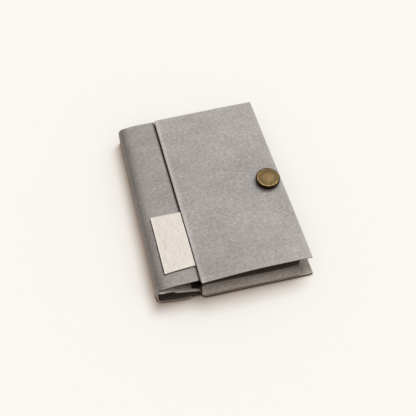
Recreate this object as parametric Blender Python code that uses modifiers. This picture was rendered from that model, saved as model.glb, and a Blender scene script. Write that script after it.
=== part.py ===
"""Paper wallet: folded washable-paper sheets, a divided spine tunnel, a pouch and a snapped flap.

Metres, +Z up. The wallet lies on its back panel. X runs from the spine to the open side,
Y from the front end to the rear end. Sheets are worked out from the spine's outer face
(X = 0), the flap's front edge (Y = 0) and the underside (Z = 0), and a root empty then
puts the origin under the middle of the whole wallet.
"""

import math

import bmesh
import bpy

# Sheet stock and fits
PAPER = 0.0006
GAP = 0.0003

# Flap and the wall that it folds from
FLAP_LENGTH = 0.100
FLAP_WIDTH = 0.0526
FLAP_TOP = 0.0120
FLAP_DROOP = 0.0002
FLAP_DROOP_RUN = 0.0020
WALL_X = 0.0209
WALL_FRONT_INSET = 0.0050
WALL_REAR_INSET = 0.0002
WALL_FOOT = 0.0056
WALL_FOOT_INSET = 0.0150

# Outer cover: leg under the back panel, spine and front strip
COVER_TOP = 0.0113
COVER_LEG = 0.0163
COVER_SET_BACK = 0.0022
COVER_REAR_SET_BACK = 0.0001
LEG_SKEW = 0.0022
SPINE_SHOULDER = 0.0097
SPINE_TOP_RADIUS = 0.0028
SPINE_BOTTOM_RADIUS = 0.0013
SPINE_LEAN = 0.0013
CROWN_X = 0.0085
TAB_BEND_RADIUS = 0.0007
TAB_LEAN = 0.0004
COVER_TAB = 0.0030
TAB_FRONT_INSET = 0.0040

# Back panel, whose edge shows past the flap's free edge
BACK_OVERHANG = 0.0013
BACK_SKEW = 0.0028
BACK_STEP = 0.0008
BACK_JOG = 0.0030

# Divider inside the spine tunnel
DIVIDER_HIGH = 0.0094
DIVIDER_LOW = 0.0047
DIVIDER_FRONT = 0.0004
DIVIDER_SPINE_TAB = 0.0050
DIVIDER_WALL_TAB = 0.0022
DIVIDER_FOLD_RADIUS = 0.0010
SLOT_WIDTH = 0.0034
SLOT_EAR = 0.0017

# Pouch under the flap, whose upper panel falls from the wall to a level part by the snap
POUCH_TOP = 0.0069
POUCH_WALL_TOP = 0.0091
POUCH_SLOPE_RUN = 0.0370
POUCH_SET_BACK = 0.0006
POUCH_FRONT = 0.0004
POUCH_REAR_INSET = 0.0006
POUCH_CORNER = 0.0120
GUSSET_SET_BACK = 0.0050
GUSSET_FOOT_INSET = 0.0006
GUSSET_LEG = 0.0040

# Label on the front strip
LABEL_LEFT = 0.0059
LABEL_WALL_GAP = 0.0009
LABEL_FRONT = 0.0098
LABEL_LENGTH = 0.0312
LABEL_THICKNESS = 0.0003
LABEL_GAP = 0.0002

# Snap fastener, placed from the flap's free edge and the middle of its length
SNAP_EDGE = 0.0060
SNAP_FORWARD = 0.0029
CAP_RADIUS = 0.0058
CAP_HEIGHT = 0.0025
CAP_RIM_WIDTH = 0.0005
CAP_RECESS = 0.0002
CAP_EDGE_RADIUS = 0.0007
CAP_FOOT_CHAMFER = 0.0002
POST_RADIUS = 0.0016
POST_HEAD_RADIUS = 0.0022
POST_HEAD_HEIGHT = 0.0003
SOCKET_FLANGE_RADIUS = 0.0051
SOCKET_FLANGE_HEIGHT = 0.0007
SOCKET_BOSS_RADIUS = 0.0042
SOCKET_HEIGHT = 0.0029
SOCKET_WEB = 0.0010
SOCKET_BORE_RADIUS = 0.0025
SOCKET_LIP = 0.0005
SPRING_WIRE_RADIUS = 0.0003
SPRING_RING_RADIUS = 0.00275
SPRING_GROOVE_HEIGHT = 0.0010
SPRING_OPENING = math.radians(50)
STUD_BASE_RADIUS = 0.0046
STUD_BASE_HEIGHT = 0.0007
STUD_NECK_RADIUS = 0.00185
STUD_NECK_HEIGHT = 0.0007
STUD_HEAD_RADIUS = 0.0021
STUD_HEIGHT = 0.0013
STUD_BORE_RADIUS = 0.0015
STUD_ROOF = 0.0004
RIVET_FLANGE_RADIUS = 0.0040
RIVET_FLANGE_HEIGHT = 0.0006
RIVET_DEPTH_IN_BORE = 0.0013
METAL_EDGE = 0.0001

# How finely curves are cut
ARC_STEPS = 6
ROUND_STEPS = 32
SPRING_STEPS = 22
SHARP_ANGLE = math.radians(35)
OVERRUN = 0.0010

# Sheet colours, roughness and metallic value
PAPER_COLOUR = (0.402, 0.388, 0.372)
PAPER_ROUGHNESS = 0.85
LABEL_COLOUR = (0.76, 0.71, 0.63)
BRASS_COLOUR = (0.32, 0.22, 0.10)
BRASS_ROUGHNESS = 0.38
STEEL_COLOUR = (0.55, 0.54, 0.52)

# Heights and places that follow from the sizes above
HALF_PAPER = PAPER / 2
FLAP_MID = FLAP_TOP - HALF_PAPER
FLAP_UNDER = FLAP_TOP - PAPER
WALL_MID = WALL_X + HALF_PAPER
WALL_RIGHT = WALL_X + PAPER
WALL_TOP = FLAP_UNDER - FLAP_DROOP - GAP
COVER_MID = COVER_TOP - HALF_PAPER
BACK_MID = HALF_PAPER
ON_LEG_MID = PAPER + GAP + HALF_PAPER
ON_BACK_MID = PAPER + GAP + HALF_PAPER
TAB_MID = WALL_X - GAP - HALF_PAPER
SPINE_MID = HALF_PAPER
STRIP_SLOPE = math.atan2(COVER_MID - SPINE_SHOULDER, CROWN_X - SPINE_MID)
SPINE_TAB_MID = PAPER + GAP + HALF_PAPER
POUCH_MID = POUCH_TOP - HALF_PAPER
POUCH_LEFT = WALL_RIGHT + GAP
FLAP_RIGHT = WALL_X + FLAP_WIDTH
BACK_RIGHT = FLAP_RIGHT + BACK_OVERHANG
POUCH_RIGHT = FLAP_RIGHT - POUCH_SET_BACK
GUSSET_RIGHT = FLAP_RIGHT - GUSSET_SET_BACK
SNAP_X = FLAP_RIGHT - SNAP_EDGE
SNAP_Y = FLAP_LENGTH / 2 - SNAP_FORWARD
FLAP_HINGE = (WALL_MID, 0, FLAP_TOP)
POUCH_HINGE = (POUCH_LEFT, 0, POUCH_WALL_TOP - HALF_PAPER)
CAP_FOOT = FLAP_TOP + GAP
SOCKET_TOP = FLAP_UNDER - GAP
SOCKET_FOOT = SOCKET_TOP - SOCKET_HEIGHT
STUD_FOOT = POUCH_TOP + GAP
RIVET_TOP = POUCH_TOP - PAPER - GAP
ORIGIN_X = BACK_RIGHT / 2
ORIGIN_Y = (FLAP_LENGTH - BACK_SKEW) / 2


def clear_scene():
    for old in list(bpy.data.objects):
        bpy.data.objects.remove(old, do_unlink=True)


def new_collection(name):
    collection = bpy.data.collections.new(name)
    bpy.context.scene.collection.children.link(collection)
    return collection


def new_material(name, colour, roughness, metallic):
    material = bpy.data.materials.new(name)
    material.use_nodes = True
    shader = material.node_tree.nodes["Principled BSDF"]
    shader.inputs["Base Color"].default_value = (*colour, 1)
    shader.inputs["Roughness"].default_value = roughness
    shader.inputs["Metallic"].default_value = metallic
    return material


def new_empty(name, collection, parent, location):
    empty = bpy.data.objects.new(name, None)
    collection.objects.link(empty)
    empty.parent = parent
    empty.location = location
    return empty


def new_piece(name, mesh, collection, parent, material, joint=(0, 0, 0)):
    """An object whose mesh is in wallet places, hung from a parent that stands at joint."""
    piece = bpy.data.objects.new(name, mesh)
    collection.objects.link(piece)
    piece.parent = parent
    piece.location = [-value for value in joint]
    mesh.materials.append(material)
    return piece


def arc(centre_u, centre_v, radius, start, end):
    """Points of an arc in a sheet's section, with angles in degrees."""
    points = []
    for step in range(ARC_STEPS + 1):
        angle = math.radians(start + (end - start) * step / ARC_STEPS)
        points.append((centre_u + radius * math.cos(angle), centre_v + radius * math.sin(angle)))
    return points


def eased(share):
    """A smooth rise from 0 to 1."""
    return (1 - math.cos(math.pi * share)) / 2


def leaned(x):
    """How far the rear end of the spine side stands in from its front end."""
    return SPINE_LEAN * max(0, 1 - x / TAB_MID)


def leg_front(x):
    """Front edge of the cover's leg, which comes forward away from the spine."""
    return COVER_SET_BACK - LEG_SKEW * min(1, x / COVER_LEG)


def back_shift(x):
    """How far the back panel has come forward at x, right of the wall."""
    return BACK_SKEW * (x - WALL_X) / (BACK_RIGHT - WALL_X)


def strip_height(x):
    """Middle of the front strip's sheet, which falls from its crown to the spine."""
    return COVER_MID - max(0, CROWN_X - x) * math.tan(STRIP_SLOPE)


def pouch_height(x):
    """Middle of the pouch's upper panel, which falls smoothly from the wall."""
    share = min(1, max(0, x - POUCH_LEFT) / POUCH_SLOPE_RUN)
    return POUCH_MID + (POUCH_WALL_TOP - POUCH_TOP) * (1 - eased(share))


def pouch_places():
    """Places across the wallet where the pouch's fall is drawn."""
    return [POUCH_LEFT + POUCH_SLOPE_RUN * step / ARC_STEPS for step in range(ARC_STEPS + 1)]


def pouch_rear(x):
    """Rear edge of the pouch's upper panel, which keeps in line with the back panel."""
    return FLAP_LENGTH - POUCH_REAR_INSET - back_shift(x)


def sheet_mesh(name, rows, keep=None):
    """A sheet through rows of points, one row for each station along the sheet's length."""
    work = bmesh.new()
    grid = [[work.verts.new(point) for point in row] for row in rows]
    for near, far in zip(grid, grid[1:]):
        for index in range(len(near) - 1):
            corners = (near[index], near[index + 1], far[index + 1], far[index])
            face = work.faces.new(corners)
            if keep and not keep(face.calc_center_median()):
                work.faces.remove(face)
    loose = [vert for vert in work.verts if not vert.link_faces]
    bmesh.ops.delete(work, geom=loose, context="VERTS")
    mesh = bpy.data.meshes.new(name)
    work.to_mesh(mesh)
    work.free()
    return mesh


def thicken(piece, thickness):
    solidify = piece.modifiers.new("thickness", "SOLIDIFY")
    solidify.thickness = thickness
    solidify.offset = 0
    solidify.use_even_offset = True


def shade_round(mesh):
    mesh.shade_smooth()
    mesh.set_sharp_from_angle(angle=SHARP_ANGLE)


def make_spine_cover(collection, root, paper):
    """Leg, rounded spine and crowned front strip, whose tab comes to lean at its rear end."""
    bottom = SPINE_BOTTOM_RADIUS - HALF_PAPER
    top = SPINE_TOP_RADIUS - HALF_PAPER
    top_centre = strip_height(SPINE_MID + top) - top / math.cos(STRIP_SLOPE)
    leg = [(COVER_LEG, BACK_MID)]
    leg += arc(SPINE_MID + bottom, BACK_MID + bottom, bottom, 270, 180)
    strip = arc(SPINE_MID + top, top_centre, top, 180, 90 + math.degrees(STRIP_SLOPE))
    strip.append((CROWN_X, COVER_MID))
    bend = arc(TAB_MID - TAB_BEND_RADIUS, COVER_MID - TAB_BEND_RADIUS, TAB_BEND_RADIUS, 90, 0)
    tab_foot = COVER_MID - TAB_BEND_RADIUS - COVER_TAB
    front = [(x, leg_front(x), z) for x, z in leg]
    front += [(x, COVER_SET_BACK, z) for x, z in strip + bend]
    front.append((TAB_MID, COVER_SET_BACK + TAB_FRONT_INSET, tab_foot))
    rear_end = FLAP_LENGTH - COVER_REAR_SET_BACK
    rear = [(x + leaned(x), rear_end, z) for x, z in leg + strip]
    rear += [(x - TAB_LEAN, rear_end, z) for x, z in bend]
    rear.append((TAB_MID, rear_end, tab_foot))
    mesh = sheet_mesh("spine_cover", [front, rear])
    shade_round(mesh)
    cover = new_piece("spine_cover", mesh, collection, root, paper)
    thicken(cover, PAPER)


def make_back_panel(collection, root, paper):
    """Panel glued on the cover's leg, which steps down to the table past the leg's end."""
    left = SPINE_BOTTOM_RADIUS + GAP
    jog_start = COVER_LEG + GAP
    section = [(left, ON_LEG_MID)]
    for step in range(ARC_STEPS + 1):
        share = step / ARC_STEPS
        drop = (ON_LEG_MID - BACK_MID) * eased(share)
        section.append((jog_start + BACK_JOG * share, ON_LEG_MID - drop))
    front = [(x, leg_front(x) + BACK_STEP, z) for x, z in section]
    rear = [(x + leaned(x), FLAP_LENGTH, z) for x, z in section]
    front.append((WALL_X, leg_front(COVER_LEG) + BACK_STEP, BACK_MID))
    rear.append((WALL_X, FLAP_LENGTH, BACK_MID))
    for x in (WALL_X + GAP, BACK_RIGHT):
        front.append((x, -back_shift(x), BACK_MID))
        rear.append((x, FLAP_LENGTH - back_shift(x), BACK_MID))
    mesh = sheet_mesh("back_panel", [front, rear])
    panel = new_piece("back_panel", mesh, collection, root, paper)
    thicken(panel, PAPER)


def make_flap_wall(collection, root, paper):
    """Upright part of the flap's sheet, with a foot glued on the back panel."""
    section = [(WALL_MID, WALL_TOP), (WALL_MID, ON_BACK_MID), (WALL_MID + WALL_FOOT, ON_BACK_MID)]
    near = (WALL_FRONT_INSET, WALL_FOOT_INSET)
    stations = near + (FLAP_LENGTH - WALL_FOOT_INSET, FLAP_LENGTH - WALL_REAR_INSET)
    rows = [[(x, y, z) for x, z in section] for y in stations]

    def keep(centre):
        on_wall = centre.x < WALL_RIGHT
        return on_wall or WALL_FOOT_INSET < centre.y < FLAP_LENGTH - WALL_FOOT_INSET

    mesh = sheet_mesh("flap_wall", rows, keep)
    wall = new_piece("flap_wall", mesh, collection, root, paper)
    thicken(wall, PAPER)


def make_flap(collection, hinge, cutters, paper):
    """Top panel, which falls a little towards its fold and is punched for the snap."""
    section = []
    for step in range(ARC_STEPS + 1):
        share = step / ARC_STEPS
        rise = FLAP_DROOP * math.sin(math.pi / 2 * share)
        section.append((WALL_X + FLAP_DROOP_RUN * share, FLAP_MID - FLAP_DROOP + rise))
    section.append((FLAP_RIGHT, FLAP_MID))
    rows = [[(x, y, z) for x, z in section] for y in (0, FLAP_LENGTH)]
    mesh = sheet_mesh("front_flap", rows)
    flap = new_piece("front_flap", mesh, collection, hinge, paper, FLAP_HINGE)
    thicken(flap, PAPER)
    punch(flap, cutters, "flap_hole_cutter", POST_RADIUS + GAP, FLAP_MID)


def make_divider(collection, root, paper):
    """Sloping sheet in the tunnel, glued to the spine and the wall, slotted beside the wall."""
    right = TAB_MID - DIVIDER_FOLD_RADIUS
    left = SPINE_TAB_MID + DIVIDER_FOLD_RADIUS
    slope = math.degrees(math.atan2(DIVIDER_HIGH - DIVIDER_LOW, right - left))
    high = DIVIDER_HIGH - HALF_PAPER - DIVIDER_FOLD_RADIUS
    low = DIVIDER_LOW - HALF_PAPER - DIVIDER_FOLD_RADIUS
    spine_tab = [(SPINE_TAB_MID, high - DIVIDER_SPINE_TAB)]
    fold = arc(left, high, DIVIDER_FOLD_RADIUS, 180, 90 - slope)
    bend = arc(right, low, DIVIDER_FOLD_RADIUS, 90 - slope, 0)
    wall_tab = [(TAB_MID, low - DIVIDER_WALL_TAB)]
    slot_left = bend[0][0] - SLOT_WIDTH
    share = (slot_left - fold[-1][0]) / (bend[0][0] - fold[-1][0])
    slot_z = fold[-1][1] + (bend[0][1] - fold[-1][1]) * share
    section = spine_tab + fold + [(slot_left, slot_z)] + bend + wall_tab
    rear_end = FLAP_LENGTH - COVER_REAR_SET_BACK
    rows = []
    for at_rear, ear in ((0, 0), (0, SLOT_EAR), (1, -SLOT_EAR), (1, 0)):
        row = []
        for x, z in section:
            front_end = COVER_SET_BACK if x < left else DIVIDER_FRONT
            end = rear_end if at_rear else front_end
            row.append((x + at_rear * leaned(x), end + ear, z))
        rows.append(row)

    def keep(centre):
        beside_wall = slot_left < centre.x < bend[0][0]
        between_ears = DIVIDER_FRONT + SLOT_EAR < centre.y < rear_end - SLOT_EAR
        return not (beside_wall and between_ears)

    mesh = sheet_mesh("pocket_divider", rows, keep)
    shade_round(mesh)
    divider = new_piece("pocket_divider", mesh, collection, root, paper)
    thicken(divider, PAPER)


def make_pouch_panel(collection, hinge, cutters, paper):
    """Upper panel of the pouch, which carries the stud and has its free corners cut off."""
    front = []
    rear = []
    for x in pouch_places() + [GUSSET_RIGHT, POUCH_RIGHT]:
        corner = POUCH_CORNER if x == POUCH_RIGHT else 0
        front.append((x, POUCH_FRONT + corner, pouch_height(x)))
        rear.append((x, pouch_rear(x) - corner, pouch_height(x)))
    mesh = sheet_mesh("pouch_panel", [front, rear])
    panel = new_piece("pouch_panel", mesh, collection, hinge, paper, POUCH_HINGE)
    thicken(panel, PAPER)
    punch(panel, cutters, "pouch_hole_cutter", STUD_BORE_RADIUS, POUCH_MID)


def front_gusset_line(x):
    """Foot and head of the front gusset, which leans in above the back panel's skew edge."""
    return GUSSET_FOOT_INSET - back_shift(x), POUCH_FRONT + HALF_PAPER


def rear_gusset_line(x):
    """Foot and head of the rear gusset."""
    return FLAP_LENGTH - GUSSET_FOOT_INSET - back_shift(x), pouch_rear(x) - HALF_PAPER


def make_gusset(name, collection, root, paper, places, line, inwards):
    """Side of the pouch, with one leg glued on the back panel and one under the upper panel."""

    def head_height(x):
        return pouch_height(x) - PAPER - GAP

    rows = []
    for x in places + [GUSSET_RIGHT]:
        foot, head = line(x)
        rows.append([
            (x, foot + inwards * GUSSET_LEG, ON_BACK_MID),
            (x, foot, ON_BACK_MID),
            (x, head, head_height(x)),
            (x, head + inwards * GUSSET_LEG, head_height(x)),
        ])

    def keep(centre):
        above_foot = centre.z > ON_BACK_MID + HALF_PAPER
        below_head = centre.z < head_height(centre.x) - HALF_PAPER
        return centre.x > POUCH_LEFT or (above_foot and below_head)

    mesh = sheet_mesh(name, rows, keep)
    gusset = new_piece(name, mesh, collection, root, paper)
    thicken(gusset, PAPER)


def make_label(collection, root, cotton):
    """Bare cloth label laid over the front strip's crown."""
    above = HALF_PAPER + LABEL_GAP + LABEL_THICKNESS / 2
    places = (LABEL_LEFT, CROWN_X, WALL_X - LABEL_WALL_GAP)
    stations = (LABEL_FRONT, LABEL_FRONT + LABEL_LENGTH)
    rows = [[(x, y, strip_height(x) + above) for x in places] for y in stations]
    mesh = sheet_mesh("label", rows)
    label = new_piece("label", mesh, collection, root, cotton)
    thicken(label, LABEL_THICKNESS)


def turned_piece(name, profile, collection, hinge, material, joint):
    """A round piece about the snap's axis, from (radius, height) points, top to bottom."""
    mesh = bpy.data.meshes.new(name)
    points = [(radius, 0, height) for radius, height in profile]
    edges = [(index, index + 1) for index in range(len(points) - 1)]
    mesh.from_pydata(points, edges, [])
    piece = new_piece(name, mesh, collection, hinge, material, joint)
    piece.location.x += SNAP_X
    piece.location.y += SNAP_Y
    screw = piece.modifiers.new("turning", "SCREW")
    screw.steps = ROUND_STEPS
    screw.render_steps = ROUND_STEPS
    screw.use_merge_vertices = True
    screw.merge_threshold = METAL_EDGE / 2
    return piece


def punch(sheet, cutters, name, radius, height):
    """Cuts the snap's round hole through a sheet."""
    bpy.ops.mesh.primitive_cylinder_add(vertices=ROUND_STEPS, radius=radius, depth=PAPER + OVERRUN)
    cutter = bpy.context.object
    cutter.name = name
    for owner in list(cutter.users_collection):
        owner.objects.unlink(cutter)
    cutters.objects.link(cutter)
    cutter.location = (SNAP_X - ORIGIN_X, SNAP_Y - ORIGIN_Y, height)
    cutter.hide_render = True
    cutter.display_type = "WIRE"
    cut = sheet.modifiers.new("snap hole", "BOOLEAN")
    cut.operation = "DIFFERENCE"
    cut.object = cutter


def make_cap(collection, hinge, brass):
    """Cap with a raised rim, and the post that rivets it through the flap to the socket."""
    top = CAP_FOOT + CAP_HEIGHT
    rim_inner = CAP_RADIUS - CAP_EDGE_RADIUS - CAP_RIM_WIDTH
    post_foot = SOCKET_TOP - SOCKET_WEB - GAP
    profile = [
        (0, top - CAP_RECESS),
        (rim_inner - CAP_RECESS, top - CAP_RECESS),
        (rim_inner, top - METAL_EDGE),
        (rim_inner + CAP_RECESS, top),
    ]
    profile += arc(CAP_RADIUS - CAP_EDGE_RADIUS, top - CAP_EDGE_RADIUS, CAP_EDGE_RADIUS, 90, 0)
    profile += [
        (CAP_RADIUS, CAP_FOOT + CAP_FOOT_CHAMFER),
        (CAP_RADIUS - CAP_FOOT_CHAMFER, CAP_FOOT),
        (POST_RADIUS, CAP_FOOT),
        (POST_RADIUS, post_foot),
        (POST_HEAD_RADIUS, post_foot - METAL_EDGE),
        (POST_HEAD_RADIUS, post_foot - POST_HEAD_HEIGHT),
        (0, post_foot - POST_HEAD_HEIGHT),
    ]
    cap = turned_piece("snap_cap", profile, collection, hinge, brass, FLAP_HINGE)
    shade_round(cap.data)


def make_socket(collection, hinge, brass):
    """Socket under the flap: flange and boss outside, spring groove and bore inside."""
    flange_foot = SOCKET_TOP - SOCKET_FLANGE_HEIGHT
    groove_foot = SOCKET_FOOT + SOCKET_LIP
    groove_top = groove_foot + SPRING_GROOVE_HEIGHT
    groove_radius = SPRING_RING_RADIUS + SPRING_WIRE_RADIUS + GAP
    web_foot = SOCKET_TOP - SOCKET_WEB
    web_radius = POST_RADIUS + GAP
    profile = [
        (web_radius, SOCKET_TOP),
        (SOCKET_FLANGE_RADIUS - METAL_EDGE, SOCKET_TOP),
        (SOCKET_FLANGE_RADIUS, SOCKET_TOP - METAL_EDGE),
        (SOCKET_FLANGE_RADIUS, flange_foot),
        (SOCKET_BOSS_RADIUS, flange_foot - METAL_EDGE),
        (SOCKET_BOSS_RADIUS, SOCKET_FOOT + METAL_EDGE),
        (SOCKET_BOSS_RADIUS - METAL_EDGE, SOCKET_FOOT),
        (SOCKET_BORE_RADIUS + METAL_EDGE, SOCKET_FOOT),
        (SOCKET_BORE_RADIUS, SOCKET_FOOT + METAL_EDGE),
        (SOCKET_BORE_RADIUS, groove_foot),
        (groove_radius, groove_foot),
        (groove_radius, groove_top),
        (SOCKET_BORE_RADIUS, groove_top),
        (SOCKET_BORE_RADIUS, web_foot),
        (web_radius, web_foot),
        (web_radius, SOCKET_TOP),
    ]
    socket = turned_piece("snap_socket", profile, collection, hinge, brass, FLAP_HINGE)
    shade_round(socket.data)


def make_spring(collection, hinge, steel):
    """Split wire ring that grips the stud inside the socket."""
    height = SOCKET_FOOT + SOCKET_LIP + SPRING_GROOVE_HEIGHT / 2
    data = bpy.data.curves.new("socket_spring", "CURVE")
    data.dimensions = "3D"
    data.bevel_depth = SPRING_WIRE_RADIUS
    data.bevel_resolution = 1
    data.use_fill_caps = True
    spline = data.splines.new("POLY")
    spline.points.add(SPRING_STEPS)
    sweep = 2 * math.pi - SPRING_OPENING
    for step, point in enumerate(spline.points):
        angle = SPRING_OPENING / 2 + sweep * step / SPRING_STEPS
        x = SPRING_RING_RADIUS * math.cos(angle)
        y = SPRING_RING_RADIUS * math.sin(angle)
        point.co = (x, y, height, 1)
    spring = bpy.data.objects.new("socket_spring", data)
    collection.objects.link(spring)
    spring.parent = hinge
    spring.location = (SNAP_X - FLAP_HINGE[0], SNAP_Y - FLAP_HINGE[1], -FLAP_HINGE[2])
    data.materials.append(steel)


def make_stud(collection, hinge, brass):
    """Stud on the pouch, with a blind bore from below for its rivet."""
    base_top = STUD_FOOT + STUD_BASE_HEIGHT
    neck_top = base_top + STUD_NECK_HEIGHT
    top = base_top + STUD_HEIGHT
    profile = [
        (0, top),
        (STUD_NECK_RADIUS, top),
        (STUD_HEAD_RADIUS, top - METAL_EDGE),
        (STUD_HEAD_RADIUS, neck_top + METAL_EDGE),
        (STUD_NECK_RADIUS, neck_top),
        (STUD_NECK_RADIUS, base_top),
        (STUD_BASE_RADIUS - METAL_EDGE, base_top),
        (STUD_BASE_RADIUS, base_top - METAL_EDGE),
        (STUD_BASE_RADIUS, STUD_FOOT),
        (STUD_BORE_RADIUS, STUD_FOOT),
        (STUD_BORE_RADIUS, top - STUD_ROOF),
        (0, top - STUD_ROOF),
    ]
    stud = turned_piece("snap_stud", profile, collection, hinge, brass, POUCH_HINGE)
    shade_round(stud.data)


def make_rivet(collection, hinge, brass):
    """Rivet under the pouch panel, whose barrel holds the stud."""
    barrel = STUD_BORE_RADIUS - GAP
    barrel_top = STUD_FOOT + RIVET_DEPTH_IN_BORE
    foot = RIVET_TOP - RIVET_FLANGE_HEIGHT
    profile = [
        (0, barrel_top),
        (barrel, barrel_top),
        (barrel, RIVET_TOP),
        (RIVET_FLANGE_RADIUS, RIVET_TOP),
        (RIVET_FLANGE_RADIUS, foot + METAL_EDGE),
        (RIVET_FLANGE_RADIUS - METAL_EDGE, foot),
        (0, foot),
    ]
    rivet = turned_piece("stud_rivet", profile, collection, hinge, brass, POUCH_HINGE)
    shade_round(rivet.data)


def main():
    clear_scene()
    wallet = new_collection("paper_wallet")
    cutters = new_collection("cutters")
    paper = new_material("washable_paper", PAPER_COLOUR, PAPER_ROUGHNESS, 0)
    cotton = new_material("label_cotton", LABEL_COLOUR, PAPER_ROUGHNESS, 0)
    brass = new_material("aged_brass", BRASS_COLOUR, BRASS_ROUGHNESS, 1)
    steel = new_material("spring_steel", STEEL_COLOUR, BRASS_ROUGHNESS, 1)
    root = new_empty("wallet_root", wallet, None, (-ORIGIN_X, -ORIGIN_Y, 0))
    flap_hinge = new_empty("flap_hinge", wallet, root, FLAP_HINGE)
    pouch_hinge = new_empty("pouch_hinge", wallet, root, POUCH_HINGE)

    make_spine_cover(wallet, root, paper)
    make_back_panel(wallet, root, paper)
    make_flap_wall(wallet, root, paper)
    make_divider(wallet, root, paper)
    make_label(wallet, root, cotton)
    make_flap(wallet, flap_hinge, cutters, paper)
    make_cap(wallet, flap_hinge, brass)
    make_socket(wallet, flap_hinge, brass)
    make_spring(wallet, flap_hinge, steel)
    make_pouch_panel(wallet, pouch_hinge, cutters, paper)
    make_stud(wallet, pouch_hinge, brass)
    make_rivet(wallet, pouch_hinge, brass)
    beside_wall = pouch_places()
    over_wall_end = [WALL_X] + beside_wall
    make_gusset("front_gusset", wallet, root, paper, over_wall_end, front_gusset_line, 1)
    make_gusset("rear_gusset", wallet, root, paper, beside_wall, rear_gusset_line, -1)


main()
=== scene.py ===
"""Look of the paper wallet: washable-paper sheets, a bare cotton label and an aged brass snap.

Sizes are in metres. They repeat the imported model's own, apart from small shifts that follow the
photo. X runs from the spine's outer face to the open side, Y from the flap's front edge to its rear
edge, and Z up from the table. in_frame then moves a place to where the frame has it.
"""

import math

import bmesh
import bpy
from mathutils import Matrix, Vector, noise


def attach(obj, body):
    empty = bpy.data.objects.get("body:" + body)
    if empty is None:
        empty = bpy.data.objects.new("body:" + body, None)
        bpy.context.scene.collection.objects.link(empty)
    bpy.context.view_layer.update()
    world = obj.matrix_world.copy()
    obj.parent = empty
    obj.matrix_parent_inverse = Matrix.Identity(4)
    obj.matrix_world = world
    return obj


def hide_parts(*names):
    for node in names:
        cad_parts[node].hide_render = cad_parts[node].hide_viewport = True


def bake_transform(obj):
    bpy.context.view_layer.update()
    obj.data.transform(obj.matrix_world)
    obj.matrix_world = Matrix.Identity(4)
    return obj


# Sheet stock and fits
PAPER = 0.0006
GAP = 0.0003

# Flap and its wall
FLAP_LENGTH = 0.100
FLAP_WIDTH = 0.0531
FLAP_TOP = 0.0120
WALL_X = 0.0209
WALL_FRONT_INSET = 0.0050
WALL_REAR_INSET = 0.0002
WALL_FOOT = 0.0056
WALL_FOOT_INSET = 0.0150
CREASE_RUN = 0.0005
FOOT_RUN = 0.0008
FLAP_BOW = 0.0014
FLAP_BOW_REACH = 0.030

# Outer cover
COVER_TOP = 0.0113
COVER_LEG = 0.0163
COVER_SET_BACK = 0.0022
COVER_REAR_SET_BACK = 0.0001
LEG_SKEW = 0.0022
LEG_CORNER_CUT = 0.0005
LEG_CORNER_RUN = 0.0030
SPINE_LEAN = 0.0013
SPINE_TOP_RUN = 0.0028
SPINE_BOTTOM_RUN = 0.0013
SPINE_TUCK = 0.0004
SPINE_TUCK_REACH = 0.0035
SPINE_SHOULDER = 0.0097
CROWN_X = 0.0085
CROWN_RUN = 0.0030
TAB_BEND_RUN = 0.0007
TAB_LEAN = 0.0004
TAB_CLOSING = 0.0040
TAB_FRONT_INSET = 0.0040
COVER_TAB = 0.0037

# Back panel
BACK_OVERHANG = 0.0008
BACK_SKEW = 0.0028
BACK_STEP = 0.0002
BACK_JOG = 0.0030
BACK_JOG_RUN = 0.0010
BACK_FORWARD = 0.0012
BACK_FRONT_SKEW = 0.0014
BACK_CORNER_RUN = 0.0020
BACK_CORNER_CUT = 0.0003

# Divider in the spine tunnel
DIVIDER_HIGH = 0.0094
DIVIDER_LOW = 0.0047
DIVIDER_FRONT = 0.0003
DIVIDER_FRONT_SKEW = 0.0008
DIVIDER_SPINE_TAB = 0.0060
DIVIDER_WALL_TAB = 0.0032
DIVIDER_FOLD_RUN = 0.0009
DIVIDER_SPINE_RUN = 0.0003
SLOT_WIDTH = 0.0028
SLOT_EAR = 0.0013
DIVIDER_TAB_INSET = 0.0030

# Pouch under the flap
POUCH_TOP = 0.0069
POUCH_WALL_TOP = 0.0091
POUCH_SLOPE_RUN = 0.0370
POUCH_SET_BACK = 0.0011
POUCH_FRONT = 0.0004
POUCH_REAR_INSET = 0.0006
POUCH_CORNER = 0.0120
GUSSET_SET_BACK = 0.0055
GUSSET_FOOT_INSET = 0.0006
GUSSET_LEG = 0.0040
GUSSET_FOLD_RUN = 0.0006

# Label
LABEL_LEFT = 0.0059
LABEL_WALL_GAP = 0.0004
LABEL_FRONT = 0.0089
LABEL_FRONT_SKEW = 0.0008
LABEL_LENGTH = 0.0316
LABEL_REAR_SKEW = -0.0003
LABEL_LIFT = 0.0004
LABEL_LIFT_REACH = 0.0008
LABEL_THICKNESS = 0.0003
LABEL_GAP = 0.0002
# Width of the painted shadow line on the cover beside the label's left edge, its fade at the label's
# ends, and the darkest share of its width
LABEL_LINE = 0.0008
LABEL_LINE_FADE = 0.0002
LABEL_LINE_DARK_SHARE = 2 / 3

# Snap fastener
SNAP_EDGE = 0.0069
SNAP_FORWARD = 0.0029
CAP_RADIUS = 0.0060
CAP_HEIGHT = 0.0025
CAP_EDGE_RADIUS = 0.0009
CAP_RIM_WIDTH = 0.0005
CAP_RECESS = 0.0002
CAP_DOME = 0.00015
CAP_SHOULDER_SHARE = 2 / 3
CAP_GROOVE = 0.0004
POST_RADIUS = 0.0016
POST_HEAD_RADIUS = 0.0022
POST_HEAD_HEIGHT = 0.0003
SOCKET_FLANGE_RADIUS = 0.0051
SOCKET_FLANGE_HEIGHT = 0.0007
SOCKET_BOSS_RADIUS = 0.0042
SOCKET_HEIGHT = 0.0029
SOCKET_WEB = 0.0010
SOCKET_BORE_RADIUS = 0.0025
SOCKET_LIP = 0.0005
SPRING_WIRE_RADIUS = 0.0003
SPRING_RING_RADIUS = 0.00275
SPRING_GROOVE_HEIGHT = 0.0010
SPRING_OPENING = math.radians(50)
STUD_BASE_RADIUS = 0.0046
STUD_BASE_HEIGHT = 0.0007
STUD_NECK_RADIUS = 0.00185
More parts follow.
